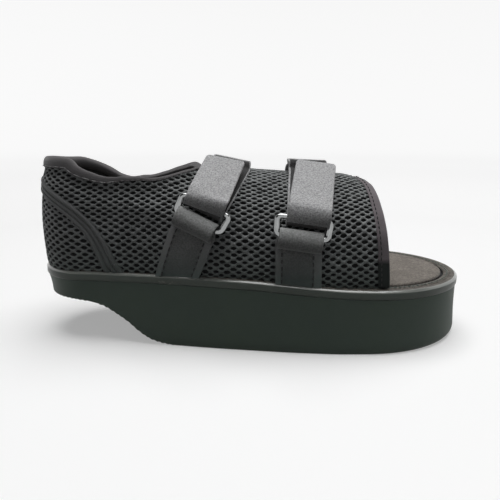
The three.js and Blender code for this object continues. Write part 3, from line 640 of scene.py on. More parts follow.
near_crown = curve(crown_rows(NEAR_EDGE, 0))
far_crown = curve(crown_rows(FAR_EDGE, FLAP_STEP))
near_reach = curve([(p, w) for p, w, _ in NEAR_EDGE] + [
    (0.386, 0.18), (0.4, 0.02), (0.414, -0.13), (0.435, -0.22), (0.7966, -0.22),
])
far_reach = curve([(p, w) for p, w, _ in FAR_EDGE] + [
    (0.368, 0.22), (0.383, 0.02), (0.4, -0.17), (0.42, -0.26), (0.7966, -0.26),
])
heel_collar = curve([
    (0, 0.975), (0.126, 0.975), (0.236, 0.99), (0.374, 1.03), (0.461, 1.078), (0.54, 1.145),
    (0.66, 1.155), (1, 1.14), (1.22, 1.115), (1.32, 1.11), (1.43, 1.075), (1.585, 1),
    (1.75, 0.91), (1.91, 0.88), (2, 0.887),
])
FAN_CROWN = float(near_crown(0.207))
fan_crown = curve([(0, FAN_CROWN), (1, FAN_CROWN * 1.03), (2, float(far_crown(0.207)))])


# Distance from the fan centre to the foot of the upper, for many directions at once
def fan_radius(dx, dy):
    low = np.full(dx.shape, HEEL_R * 0.6)
    high = np.full(dx.shape, FAN_X + HEEL_R)
    for _ in range(44):
        r = (low + high) / 2
        x = FAN_X + r * dx
        y = np.abs(r * dy)
        shy = inset(x / LENGTH)
        past = np.where(x < HEEL_R, np.hypot(x - HEEL_R, y) - (HEEL_R - shy), y - foot_width(x))
        low = np.where(past > 0, low, r)
        high = np.where(past > 0, r, high)
    return (low + high) / 2


# Stations of the upper: u from 0 to 1 on the near side, to 2 round the heel, to 3 on the far side
def station_table():
    u = np.linspace(0, 3, 3001)
    turn = -math.pi / 2 - math.pi * (u - 1)
    cos, sin = np.cos(turn), np.sin(turn)
    r = fan_radius(cos, sin)
    heel_x = FAN_X + r * cos
    high = fan_crown(2 * (u - 1))
    heel = {
        "x": heel_x, "y": r * sin, "dx": -cos, "dy": -sin, "half": foot_width(FAN_X) + 0 * u, "high": high,
        "end": t_at_up(heel_collar(2 * (u - 1)) * ANKLE / high), "lean": 0 * u,
    }
    near = u < 1
    x = FAN_X + (FRONT_X - FAN_X) * np.where(near, 1 - u, u - 2)
    half = foot_width(x)
    place = x / LENGTH
    dy = np.where(near, 1.0, -1.0)
    reach = np.where(near, near_reach(place), far_reach(place)) * HALF_BALL / half
    side = {
        "x": x, "y": -dy * half, "dx": 0 * u, "dy": dy, "half": half,
        "high": np.where(near, near_crown(place), far_crown(place)), "end": t_at_out(reach),
        "lean": FRONT_LEAN * np.maximum(0, (place - 0.4) / (FRONT_X / LENGTH - 0.4)),
    }
    round_heel = (u >= 1) & (u <= 2)
    table = {key: np.where(round_heel, heel[key], side[key]) for key in side}
    table["foot"] = rim(table["x"]) + SEAT
    return u, table


U_FINE, TABLE = station_table()


def at_station(key, u):
    return np.interp(u, U_FINE, TABLE[key])


# Outer surface of the upper
def skin(u, t):
    out, up = arch(t)
    inward = at_station("half", u) * (1 - out)
    lean = at_station("lean", u) * (0.5 * up + 0.5 / (1 + 25 * out * out))
    return np.stack([
        at_station("x", u) + at_station("dx", u) * inward - lean,
        at_station("y", u) + at_station("dy", u) * inward,
        at_station("foot", u) + at_station("high", u) * up,
    ], -1)


def tangents(u, t):
    u0, u1 = np.maximum(0, u - 0.004), np.minimum(3, u + 0.004)
    t0, t1 = np.maximum(0, t - 0.01), np.maximum(0, t) + 0.01
    along = (skin(u1, t) - skin(u0, t)) / (u1 - u0)[..., None]
    rise = (skin(u, t1) - skin(u, t0)) / (t1 - t0)[..., None]
    return along, rise, unit(np.cross(rise, along))


def lifted(u, t, off):
    return skin(u, t) + tangents(u, t)[2] * np.asarray(off)[..., None]


# Move on the surface by a vector that lies in it
def slide(u, t, move):
    along, rise, _ = tangents(u, t)
    aa, ab, bb = (along * along).sum(-1), (along * rise).sum(-1), (rise * rise).sum(-1)
    ma, mb = (move * along).sum(-1), (move * rise).sum(-1)
    det = aa * bb - ab * ab
    return u + (ma * bb - mb * ab) / det, t + (mb * aa - ma * ab) / det


# Way along a row of points, from its first point
def lengths(points):
    return np.concatenate([[0], np.cumsum(np.linalg.norm(np.diff(points, axis=0), axis=1))])


# Cloth places: a is the way round the shoe and b the way up from the foot, in millimetres
A_ROW = lengths(skin(U_FINE, 0.3 + 0 * U_FINE))
A_END = A_ROW[-1]
A_HEEL = float(np.interp(1.5, U_FINE, A_ROW))
U_PARTS, T_PARTS, B_PARTS = 200, 100, 2
T_LOW, B_LOW = -0.1, -4
FOOT_COLUMN = 10
U_GRID = np.linspace(0, 3, 3 * U_PARTS + 1)
T_GRID = np.linspace(T_LOW, 2, 211)
GRID_SKIN = skin(U_GRID[:, None] + 0 * T_GRID[None, :], T_GRID[None, :] + 0 * U_GRID[:, None])
B_GRID = np.concatenate([
    np.zeros((len(U_GRID), 1)), np.cumsum(np.linalg.norm(np.diff(GRID_SKIN, axis=1), axis=2), axis=1)
], 1)
B_GRID -= B_GRID[:, FOOT_COLUMN:FOOT_COLUMN + 1]
B_STEPS = np.linspace(B_LOW, 150, 309)
T_OF_B = np.array([np.interp(B_STEPS, row, T_GRID) for row in B_GRID])


def bilinear(table, i, j):
    i = np.clip(i, 0, table.shape[0] - 1.001)
    j = np.clip(j, 0, table.shape[1] - 1.001)
    i0, j0 = np.floor(i).astype(int), np.floor(j).astype(int)
    s, r = i - i0, j - j0
    low = table[i0, j0] * (1 - r) + table[i0, j0 + 1] * r
    high = table[i0 + 1, j0] * (1 - r) + table[i0 + 1, j0 + 1] * r
    return low * (1 - s) + high * s


def a_of(u):
    return np.interp(u, U_FINE, A_ROW)


def b_of(u, t):
    return bilinear(B_GRID, np.asarray(u) * U_PARTS, (np.asarray(t) - T_LOW) * T_PARTS)


def cloth_place(a, b):
    u = np.interp(a, A_ROW, U_FINE)
    return u, bilinear(T_OF_B, u * U_PARTS, (b - B_LOW) * B_PARTS)


EDGE_B = b_of(U_FINE, TABLE["end"])


def edge_b(a):
    return np.interp(a, A_ROW, EDGE_B)


# Ridged tape round the heel counter
TAPE_FROM = 0.12
tape_path = curve([
    (TAPE_FROM, 0.045), (0.2, 0.2), (0.29, 0.37), (0.39, 0.52), (0.51, 0.66),
    (0.66, 0.775), (0.82, 0.86), (1, 0.91),
])


def tape_point(place):
    side = np.where(place <= 1, place, 2 - place)
    u = 1 + place / 2
    return u, t_at_up(tape_path(side) * ANKLE / at_station("high", u))


TAPE_PLACES = np.linspace(TAPE_FROM, 2 - TAPE_FROM, 200)
TAPE_A = a_of(tape_point(TAPE_PLACES)[0])
TAPE_B = b_of(*tape_point(TAPE_PLACES))


def tape_b(a):
    return np.interp(a, TAPE_A, TAPE_B, left=-9, right=-9)


# Distance from cloth places to a line through rows of (a, b)
def away(a, b, rows):
    rows = np.asarray(rows, float)
    best = np.full(np.shape(a), 1e9)
    for (a0, b0), (a1, b1) in zip(rows[:-1], rows[1:]):
        ra, rb = a1 - a0, b1 - b0
        s = np.clip(((a - a0) * ra + (b - b0) * rb) / max(ra * ra + rb * rb, 1e-9), 0, 1)
        best = np.minimum(best, np.hypot(a - a0 - s * ra, b - b0 - s * rb))
    return best


# Station of the near side at one distance from the back of the heel
def near_station(x):
    return (FRONT_X - x) / (FRONT_X - FAN_X)


# Soft folds set on the near side, and mirrored on the far side. Each row: start and end as x from the
# heel and height on the cloth, depth (below zero for a trough), half width
FOLDS = [
    ((66, 52), (96, 46), -0.9, 5),
    ((70, 44), (104, 36), 0.7, 6),
    ((118, 34), (150, 30), -0.7, 5),
    ((120, 46), (168, 50), 0.6, 7),
    ((121, 14), (152, 18), -0.5, 5),
    ((150, 60), (172, 62), -0.6, 5),
    ((196, 20), (222, 26), -0.6, 5),
    ((194, 44), (220, 40), 0.7, 6),
    ((84, 12), (92, 26), -0.5, 4),
]


# Height of the cloth over the face of the solid: soft ridges and troughs at cloth places
def relief(a, b):
    top = edge_b(a)
    height = 0 * a
    # hollow under the collar's roll, and the padded band below it
    height -= 0.9 * np.exp(-((top - b - 8) / 3.4) ** 2) * smooth((a - 60) / 40)
    height += 0.5 * np.exp(-((top - b - 17) / 6) ** 2)
    # the tape pulls the cloth in, and the heel swells over it and under it
    tape = np.where((a > TAPE_A[0]) & (a < TAPE_A[-1]), b - tape_b(a), 99)
    height -= 0.9 * np.exp(-(tape / 6.5) ** 2)
    heel = np.exp(-((a - A_HEEL) / 26) ** 2)
    height += 1.1 * heel * np.exp(-((tape - 8) / 5) ** 2)
    height += 0.5 * np.exp(-((a - A_HEEL) / 60) ** 2) * np.exp(-((b - 30) / 16) ** 2)
    # pulled in where it is sewn, at the sole and behind the toe opening
    height -= 0.7 * np.exp(-((b + 0.5) / 2.6) ** 2)
    height -= 0.5 * np.exp(-((a - 7) / 3) ** 2)
    for (x0, b0), (x1, b1), depth, wide in FOLDS:
        line = [(float(a_of(near_station(x0))), b0), (float(a_of(near_station(x1))), b1)]
        height += depth * np.exp(-(away(a, b, line) / wide) ** 2)
        mirror = [(A_END - line[0][0], b0 * 0.95), (A_END - line[1][0], b1 * 0.95)]
        height += 0.8 * depth * np.exp(-(away(a, b, mirror) / wide) ** 2)
    return height


# Lining: a thin shell between the mesh and the inside of the upper
def lining():
    u = np.linspace(0, 3, 361)
    share = np.linspace(0, 1, 41)
    uu = u[:, None] + 0 * share[None, :]
    tt = at_station("end", u)[:, None] * share[None, :]
    aa, bb = a_of(uu), b_of(uu, tt)
    lift = relief(aa, bb)
    outer = lifted(uu, tt, lift - LINING_DEPTH)
    soft = 0.25 * np.sin(aa / 7) * np.sin(bb / 9 + 1)
    inner = lifted(uu, tt, 0.5 * lift - WALL + soft)
    inner[:, 0, 2] = outer[:, 0, 2]
    rows, cols = uu.shape
    points = np.concatenate([outer.reshape(-1, 3), inner.reshape(-1, 3)])
    shift = rows * cols
    faces = grid_faces(rows, cols) + grid_faces(rows, cols, shift)
    ids = np.arange(shift).reshape(rows, cols)
    for edge in (ids[:, 0], ids[:, -1], ids[0], ids[-1]):
        faces += [(a, b, b + shift, a + shift) for a, b in zip(edge[:-1], edge[1:])]
    obj = tidy(make("upper_lining", points, faces, LINING), sharp=60)
    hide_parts("upper")


# The knit is pulled wider towards the heel, its rows lie closer together near the crown, and they stay level
# while the rim of the sole drops towards the toe
P_STEPS = np.arange(-10, A_END + 60, 1.0)
HEEL_SHARE = smooth((np.minimum(P_STEPS, A_END - P_STEPS) - 55) / 45)
A_OF_P = np.cumsum(1 + 0.09 * HEEL_SHARE) - 10
A_OF_P = -10 + (A_OF_P + 10) * (A_END + 10) / np.interp(A_END, P_STEPS, A_OF_P + 10)
Q_STEPS = np.arange(-30, 150, 1.0)
B_OF_Q = np.cumsum(mix(1.0, 0.8, smooth((Q_STEPS - 26) / 18)))
B_OF_Q = B_OF_Q - np.interp(0, Q_STEPS, B_OF_Q)


def rows_lift(a):
    x = FRONT_X - np.minimum(a, A_END - a)
    return np.where(x > FAN_X, HEEL_RIM - rim(x) + 4.5 * smooth((x - 150) / 85), 0)


def knit(p, q):
    a = np.interp(p, P_STEPS, A_OF_P) + 0.5 * np.sin(q / 11 + p / 37)
    b = np.interp(q, Q_STEPS, B_OF_Q) + rows_lift(a) + 0.55 * np.sin(a / 17) * smooth(q / 12)
    return a, b


# Spacer mesh as real ribs round staggered oval holes
def spacer_mesh(name, keep):
    half_pitch, row = HOLE_PITCH / 2, HOLE_ROW
    corner_flat = (half_pitch ** 2 - row ** 2) / HOLE_PITCH
    corner_side = (half_pitch ** 2 + row ** 2) / HOLE_PITCH
    corners = np.array([
        (corner_side, 0), (corner_flat, row), (-corner_flat, row),
        (-corner_side, 0), (-corner_flat, -row), (corner_flat, -row),
    ])
    middles = (corners + np.roll(corners, -1, 0)) / 2
    border = np.stack([corners, middles], 1).reshape(-1, 2)
    angle = np.arctan2(border[:, 1] / HOLE_HIGH, border[:, 0] / HOLE_WIDE)
    point = 1 / (np.abs(np.cos(angle)) ** 1.7 + np.abs(np.sin(angle)) ** 1.7) ** (1 / 1.7)
    oval = np.stack([HOLE_WIDE / 2 * np.cos(angle) * point, HOLE_HIGH / 2 * np.sin(angle) * point], -1)
    rows = np.arange(-8, 60)
    cols = np.arange(-1, int(A_END / HOLE_PITCH) + 2)
    jj, ii = np.meshgrid(rows, cols, indexing="ij")
    centres = np.stack([(ii + 0.5 * (jj % 2)) * HOLE_PITCH, jj * row], -1).reshape(-1, 2)
    ca, cb = knit(centres[:, 0], centres[:, 1])
    inside = (ca > -1) & (ca < A_END + 1) & (cb > -2.4) & (cb < edge_b(ca))
    centres = centres[inside & keep(ca, cb)]
    count = len(centres)
    local = np.random.default_rng(len(name))
    size = 1 + 0.07 * local.standard_normal((count, 1, 1))
    shift = 0.13 * local.standard_normal((count, 1, 2))
    outer = centres[:, None] + border[None]
    levels = [(1.25, 0.42), (1.07, 0.08), (1.0, -0.45), (0.94, -1.35)]
    flat = [outer] + [centres[:, None] + shift + oval[None] * size * grow for grow, _ in levels]
    crest = np.where(np.arange(12) % 2 == 0, RIB_PROUD - 0.12, RIB_PROUD)
    heights = [crest[None] + 0 * outer[..., 0]] + [up + 0 * outer[..., 0] for _, up in levels]
    keys = np.round(outer.reshape(-1, 2), 3)
    _, first, back = np.unique(keys, axis=0, return_index=True, return_inverse=True)
    back = back.reshape(-1)
    outer_ids = back.reshape(count, 12)
    plane = [outer.reshape(-1, 2)[first]] + [ring_points.reshape(-1, 2) for ring_points in flat[1:]]
    lift = [heights[0].reshape(-1)[first]] + [level.reshape(-1) for level in heights[1:]]
    ids = [outer_ids]
    base = len(first)
    for _ in levels:
        ids.append(base + np.arange(count * 12).reshape(count, 12))
        base += count * 12
    plane, lift = np.concatenate(plane), np.concatenate(lift)
    a, b = knit(plane[:, 0], plane[:, 1])
    a = np.clip(a, 0.3, A_END - 0.3)
    b = np.clip(b, -2.2, edge_b(a))
    u, t = cloth_place(a, b)
    points = lifted(u, t, lift + relief(a, b))
    faces = []
    for low, high in zip(ids[:-1], ids[1:]):
        quads = np.stack([low, np.roll(low, -1, 1), np.roll(high, -1, 1), high], -1)
        faces.append(quads.reshape(-1, 4))
    obj = make(name, points, np.concatenate(faces).tolist(), RIBS)
    obj.data.materials.append(RECESS_SHADE)
    # faces from just below the rim of each hole down into it are near-black: painted shade inside the holes
    walls = count * 12 * 2
    for face in obj.data.polygons:
        if face.index >= walls:
            face.material_index = 1
    return obj


def upper_meshes():
    def counter(a, b):
        return b < tape_b(a)

    pieces = [
        spacer_mesh("mesh_near", lambda a, b: ~counter(a, b) & (a <= A_HEEL)),
        spacer_mesh("mesh_counter", counter),
        spacer_mesh("mesh_far", lambda a, b: ~counter(a, b) & (a > A_HEEL)),
    ]
    for piece in pieces:
        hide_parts("upper")


# Tube through loops of equal count, with the ends closed by their own points
def tube(name, loops, material, closed=False, sharp=None):
    loops = np.asarray(loops)
    rows, cols = loops.shape[:2]
    faces = grid_faces(rows, cols, wrap_rows=closed, wrap_cols=True)
    if not closed:
        faces.append(list(range(cols))[::-1])
        faces.append([(rows - 1) * cols + k for k in range(cols)])
    return tidy(make(name, loops.reshape(-1, 3), faces, material), sharp=sharp)


# Closed smooth loop through a few points
def smooth_loop(points, count):
    points = np.asarray(points, float)
    n = len(points)
    f = np.linspace(0, n, count, endpoint=False)
    i = np.floor(f).astype(int)
    return between(*(points[(i + k) % n] for k in (-1, 0, 1, 2)), (f - i)[:, None])


# Binding section round an edge: distance in from the edge, height above the outer face
ROLL = [
    (6.8, ROLL_GAP), (6.9, 1.0), (5.9, 1.55), (4.2, 1.95), (1.6, 2.1), (-0.6, 1.5), (-1.8, 0.2),
    (-2.1, -WALL / 2), (-1.7, -WALL - 0.6), (-0.4, -WALL - 1.9), (1.6, -WALL - 2.4), (4.2, -WALL - 2.3),
    (6.2, -WALL - 1.4), (6.0, -WALL - 0.8), (3, -WALL - 0.7), (0.6, -WALL - 0.4), (0.3, -WALL / 2),
    (0.6, ROLL_GAP), (3.4, ROLL_GAP),
]
ROLL_FINE = smooth_loop(ROLL, 57)


def binding_loops(u, t, beyond, wide, thick, folds):
    _, _, normal = tangents(u, t)
    edge = skin(u, t)
    loops = []
    for inwards, high in ROLL_FINE:
        b = inwards * wide if inwards > 0 else inwards * np.maximum(thick, 0.4)
        rest = high - ROLL_GAP if high > 0 else high + WALL + 2 * ROLL_GAP
        fade = np.where(-WALL - 0.5 < high < 0, 0.0, 1.0)
        off = high - fade * rest * (1 - thick) + folds * smooth(abs(high + WALL / 2) / 3)
        if inwards <= 0:
            loops.append(edge - beyond * b[..., None] + normal * off[..., None])
            continue
        su, st = slide(u, t, -beyond * b[..., None])
        loops.append(lifted(np.clip(su, 0, 3), st, off))
    return np.stack(loops, 1)


# Soft round ends for loops whose section is open
def capped(loops, reach=1.1):
    for k in (0, -1):
        centre = loops[k].mean(0)
        out = unit(centre - loops[1 if k == 0 else -2].mean(0))
        extra = []
        for turn in (30, 60, 85):
            a = math.radians(turn)
            extra.append(centre + (loops[k] - centre) * math.cos(a) + out * reach * math.sin(a))
        if k == 0:
            loops = np.concatenate([np.stack(extra[::-1]), loops])
        else:
            loops = np.concatenate([loops, np.stack(extra)])
    return loops


def over_top(u):
    u0, u1 = np.maximum(0, u - 0.006), np.minimum(3, u + 0.006)
    run = skin(u1, at_station("end", u1)) - skin(u0, at_station("end", u0))
    _, rise, normal = tangents(u, at_station("end", u))
    out = unit(np.cross(run, normal))
    return np.where((out * rise).sum(-1, keepdims=True) < 0, -out, out)


# Round or oval loop about a centre, in the plane of two directions
def oval(centre, across, up, wide, high, count):
    turn = np.arange(count) / count * 2 * math.pi
    return centre + across * (wide * np.cos(turn))[:, None] + up * (high * np.sin(turn))[:, None]


# Small thread stitches that dip into the cloth at both ends
def stitches(name, path, normals, material, length=STITCH, gap=STITCH_GAP, radius=THREAD):
    path, normals = np.asarray(path, float), np.asarray(normals, float)
    far = lengths(path)
    points, faces = [], []
    sides = 6
    start = gap
    while start + length < far[-1]:
        shares = np.array([0, 0.12, 0.5, 0.88, 1])
        at = start + shares * length
        middle = np.stack([np.interp(at, far, path[:, k]) for k in range(3)], -1)
        up = unit(np.stack([np.interp(at, far, normals[:, k]) for k in range(3)], -1))
        run = unit(middle[-1] - middle[0])[None]
        across = unit(np.cross(run, up))
        size = radius * np.array([0.45, 0.9, 1.05, 0.9, 0.45])
        rise = radius * np.array([-0.5, 0.5, 0.8, 0.5, -0.5])
        base = sum(len(p) for p in points)
        for k in range(5):
            points.append(oval(middle[k] + up[k] * rise[k], across[k], up[k], size[k], size[k], sides))
        faces += grid_faces(5, sides, base, wrap_cols=True)
        faces += [[base + k for k in range(sides)], [base + 4 * sides + k for k in range(sides)][::-1]]
        start += length + gap
    return make(name, np.concatenate(points), faces, material)


roll_size = curve([
    (0, 0.5), (1.02, 0.5), (1.2, 0.72), (1.34, 0.95), (1.66, 0.95), (1.8, 0.72), (1.98, 0.5), (3, 0.5),
])
roll_wide = curve([
    (0, 0.45), (0.55, 0.4), (0.7, 0.24), (0.88, 0.24), (1.02, 0.42), (1.2, 0.7), (1.34, 0.85), (1.66, 0.85),
    (1.8, 0.7), (1.98, 0.42), (2.3, 0.4), (3, 0.45),
])


def collar_binding():
    u = np.linspace(0, 3, 421)
    end = at_station("end", u)
    size = roll_size(u)
    a = a_of(u)
    folds = 0.1 * np.sin(a / 3.1) + 0.12 * np.sin(a / 5.7 + 1)
    beyond = over_top(u)
    wide = roll_wide(u)
    loops = binding_loops(u, end, beyond, wide, size * 1.4 - 0.4, folds)
    obj = tube("collar_roll", capped(loops), BINDING)
    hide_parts("collar_binding")
    su, st = slide(u, end, -beyond * (6.1 * wide)[:, None])
    su = np.clip(su, 0, 3)
    path = lifted(su, st, 0.4 + 1.1 * size)
    normals = tangents(su, st)[2]
    heel = path[:, 0] < HEEL_HIGHLIGHT_END
    stitches("collar_seam", path, normals, BINDING, radius=0.3)
    # light grey thread round the heel: a painted highlight along the edge of the seam under the roll
    stitches("collar_heel_painted_highlight", path[heel], normals[heel], HIGHLIGHT_THREAD,
             length=5, gap=0.4, radius=0.32)


def toe_bindings():
    for side, u_edge in (("near", 0.0), ("far", 3.0)):
        name = "toe_roll_" + side
        end = float(at_station("end", u_edge))
        u1, t1 = np.array([u_edge]), np.array([end])
        stop = float(slide(u1, t1, over_top(u1) * -6.6)[1][0])
        t = np.linspace(0.012, stop, 90)
        u = np.full(t.shape, u_edge)
        along, rise, normal = tangents(u, t)
        out = unit(np.cross(rise, normal))
        sign = -1 if u_edge < 1.5 else 1
        out = np.where((out * along).sum(-1, keepdims=True) * sign < 0, -out, out)
        climb = b_of(u, t)
        folds = 0.08 * np.sin(climb / 2.3) + 0.08 * np.sin(climb / 4.9)
        patch = smooth((21 - climb) / 2)
        wide = 0.85 + 0.06 * patch
        loops = binding_loops(u, t, out, wide, 0.3 + 0.12 * patch, folds)
        obj = tube(name, loops, TOE_BINDING)
        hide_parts("toe_binding_" + side)
        back = -out * (5.0 * wide)[:, None]
        su, st = slide(u, t, back)
        su = np.clip(su, 0, 3)
        path = lifted(su, st, 1.0 + 0 * t)
        stitches(name + "_stitches", path, tangents(su, st)[2], THREAD_DARK, radius=0.3)


def counter_tape():
    places = np.linspace(TAPE_FROM, 2 - TAPE_FROM, 240)
    u, t = tape_point(places)
    ua, ta = tape_point(np.maximum(TAPE_FROM, places - 0.02))
    ub, tb = tape_point(np.minimum(2 - TAPE_FROM, places + 0.02))
    run = skin(ub, tb) - skin(ua, ta)
    across = unit(np.cross(run, tangents(u, t)[2]))
    profile = [(-4.3, -0.6)]
    for s in np.linspace(-4.1, 4.1, 37):
        ridge = abs(math.sin(math.pi * (s + 4.1) / 8.2 * 3))
        profile.append((s, 0.35 + 1.15 * ridge ** 0.6))
    profile.append((4.3, -0.6))
    # both ends go on straight, in cloth coordinates, until they are below the ledge of the sole
    cloth = np.stack([a_of(u), b_of(u, t)], -1)
    first, last = unit(cloth[0] - cloth[6]), unit(cloth[-1] - cloth[-7])
    beyond = np.arange(1, 14)[:, None] * 0.8
    loops = []
    wider = 1 + 0.35 * smooth((0.42 - np.minimum(places, 2 - places)) / 0.3)
    for b, high in profile:
        su, st = slide(u, t, across * (b * wider)[:, None])
        line = np.stack([a_of(su), b_of(su, st)], -1)
        line = np.concatenate([line[0] + first * beyond[::-1], line, line[-1] + last * beyond])
        line[:, 1] = np.maximum(line[:, 1], -3.5)
        su, st = cloth_place(line[:, 0], line[:, 1])
        loops.append(lifted(su, st, high + 0.7 * relief(line[:, 0], line[:, 1]) + 0.35))
    obj = tube("counter_tape_ridges", np.stack(loops, 1), TAPE)
    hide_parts("counter_tape")


# Ring, tab and crown places are as in the solids. Set for the photo: knee and end, the bend of the
# strap over the ring and the middle of its loose end; end_way and crest_way, the way across the band;
# crest_high and front_high, its height over the skin behind the crest and in front of it
FASTENINGS = [
    {"name": "rear", "ring_x": 0.3925, "ring_up": 0.665, "turn": 16, "tab_x": 0.334, "crown_x": 0.455,
     "far_x": 0.4, "lift": 1.7, "shift": 0.3, "knee": (117.4, -44.6, 99.6), "end": (127.2, -11.5, 120.4),
     "end_way": (22.5, -4, -4), "crest_way": (23.4, -5, -4.2), "crest_high": 5.8, "front_high": 1.9},
    {"name": "front", "ring_x": 0.6085, "ring_up": 0.59, "turn": 3.5, "tab_x": 0.5985, "crown_x": 0.646,
     "far_x": 0.61, "lift": 3, "shift": 2.8, "knee": (178.7, -49.9, 94.6), "end": (186.8, -10.5, 118.1),
     "end_way": (24.6, -6, -2.9), "crest_way": (24.4, -1, -0.8), "crest_high": 8.2, "front_high": 3.3},
]
# Front of the tab's roll: places out of the ring's face and up it
ROLL_FRONT = [(4.4 * math.sin(a), 5.6 * math.cos(a) - 1.9) for a in np.radians(range(20, 181, 16))]
ROLL_FRONT += [(-1.5, -7.5), (-3.2, -7.5)]
# Smooth tapes along both edges of a tab: name, middle, width and place of the dark seam
TAB_TAPES = [("left", -12.4, 3.8, -10.2), ("right", 11.8, 4.9, 9.1)]


# Directions on a side of the upper: along the shoe, up the section and out of it, turned in the surface
def frame_at(x, t, turn, near=True):
    u = np.array([near_station(x) if near else 2 + (x - FAN_X) / (FRONT_X - FAN_X)])
    t = np.array([float(t)])
    along, rise, normal = (v[0] for v in tangents(u, t))
    wide = unit(along) * (-1 if near else 1)
    up = unit(np.cross(normal, wide)) * (1 if near else -1)
    if up @ rise < 0:
        up = -up
    a = math.radians(turn)
    w = wide * math.cos(a) - up * math.sin(a)
    v = up * math.cos(a) + wide * math.sin(a)
    return skin(u, t)[0], w, v, normal


def t_of(point):
    u = near_station(point[0])
    return float(t_at_up((point[2] - at_station("foot", u)) / at_station("high", u)))


def turned(a, b, s):
    return unit(mix(a, b, s))


# Flat webbing along stations of (centre, width direction), with soft edges
# raise_at(place, side) lifts one face, place along the band and side across it. back is a second material
# for both faces, with the places along the band between which it is used; the strap uses it for painted shade
def webbing(name, centres, wides, width, thick, material, raise_at=None, wide_at=None, back=None):
    centres, wides = np.array(centres), unit(np.array(wides))
    run = unit(np.gradient(centres, axis=0))
    normal = unit(np.cross(run, wides))
    far = lengths(centres)
    half = width / 2 + (0 * far if wide_at is None else wide_at(far))
    soft = min(0.5 * thick, 0.8)
    section = []
    for k in range(9):
        a = math.pi / 2 * (1 - k / 4)
        section.append((1, soft * (math.cos(a) - 1), math.sin(a)))
    under = [(s, 0, -1) for s in np.linspace(0.9, -0.9, 33)]
    left = [(-1, -d, h) for _, d, h in section[::-1]]
    over = [(s, 0, 1) for s in np.linspace(-0.9, 0.9, 33)]
    ring_rows = section + under + left + over
    loops = []
    for share, inwards, high in ring_rows:
        side = share * half + inwards
        up = high * thick / 2 + 0 * far
        if raise_at is not None and high > 0.99 and abs(share) < 1:
            up = up + raise_at(far, side)
        loops.append(centres + wides * side[:, None] + normal * up[:, None])
    obj = tube(name, np.stack(loops, 1), material, sharp=60)
    if back is not None:
        other, start, until = back
        obj.data.materials.append(other)
        columns = len(ring_rows)
        for face in obj.data.polygons:
            station, column = divmod(face.index, columns)
            flat = column % (columns // 2) >= len(section)
            if flat and station < len(far) and start < far[station] < until:
                face.material_index = 1
    return obj, far, centres, wides, normal


# Half circle round a bar, from behind it to its front, over it or under it
def fold(centre, v, n, radius, tall):
    turn = np.linspace(0, math.pi, TURN_ROWS)
    return [centre - n * radius * math.cos(a) + v * tall * radius * math.sin(a) for a in turn]


# Distance from a bar's middle to webbing of this thickness that goes round it
def turn_radius(thick):
    return RING_BAR / 2 + 1.5 * GAP + thick / 2


# Even steps along a rough path, with its corners softened over a reach in millimetres
def rounded(centres, wides, reach, step=0.6):
    centres, wides = np.array(centres), unit(np.array(wides))
    far = lengths(centres)
    at = np.arange(0, far[-1], step)
    half = int(reach / step)
    window = np.hanning(2 * half + 3)[1:-1]
    window /= window.sum()
    result = []
    for rows in (centres, wides):
        even = np.stack([np.interp(at, far, rows[:, k]) for k in range(3)], -1)
        wider = np.pad(even, ((half, half), (0, 0)), mode="reflect", reflect_type="odd")
        result.append(np.stack([np.convolve(wider[:, k], window, "valid") for k in range(3)], -1))
    return result[0], unit(result[1])


# Ring with round corners, in the plane of w and v
def ring_piece(name, middle, w, v, n):
    middle = middle + w * RING_MOVE
    loops = []
    for q, (sx, sy) in enumerate([(1, 1), (-1, 1), (-1, -1), (1, -1)]):
        for i in range(12):
            a = (q + i / 11) * math.pi / 2
            px = sx * (RING_HALF_WIDE - RING_CORNER) + RING_CORNER * math.cos(a)
            py = sy * (RING_HALF_HIGH - RING_CORNER) + RING_CORNER * math.sin(a)
            out = w * math.cos(a) + v * math.sin(a)
            arm = abs(math.cos(a)) ** 2
            flat = mix(BAR_RADIUS, ARM_WIDE, arm)
            deep = mix(BAR_RADIUS, ARM_DEEP, arm)
            centre = middle + w * px * (1 + RING_FLARE * py / RING_HALF_HIGH) + v * py
            loops.append(oval(centre, out, n, flat, deep, 20))
    obj = tube(f"{name}_ring_metal", loops, METAL, closed=True)
    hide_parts(f"{name}_ring")


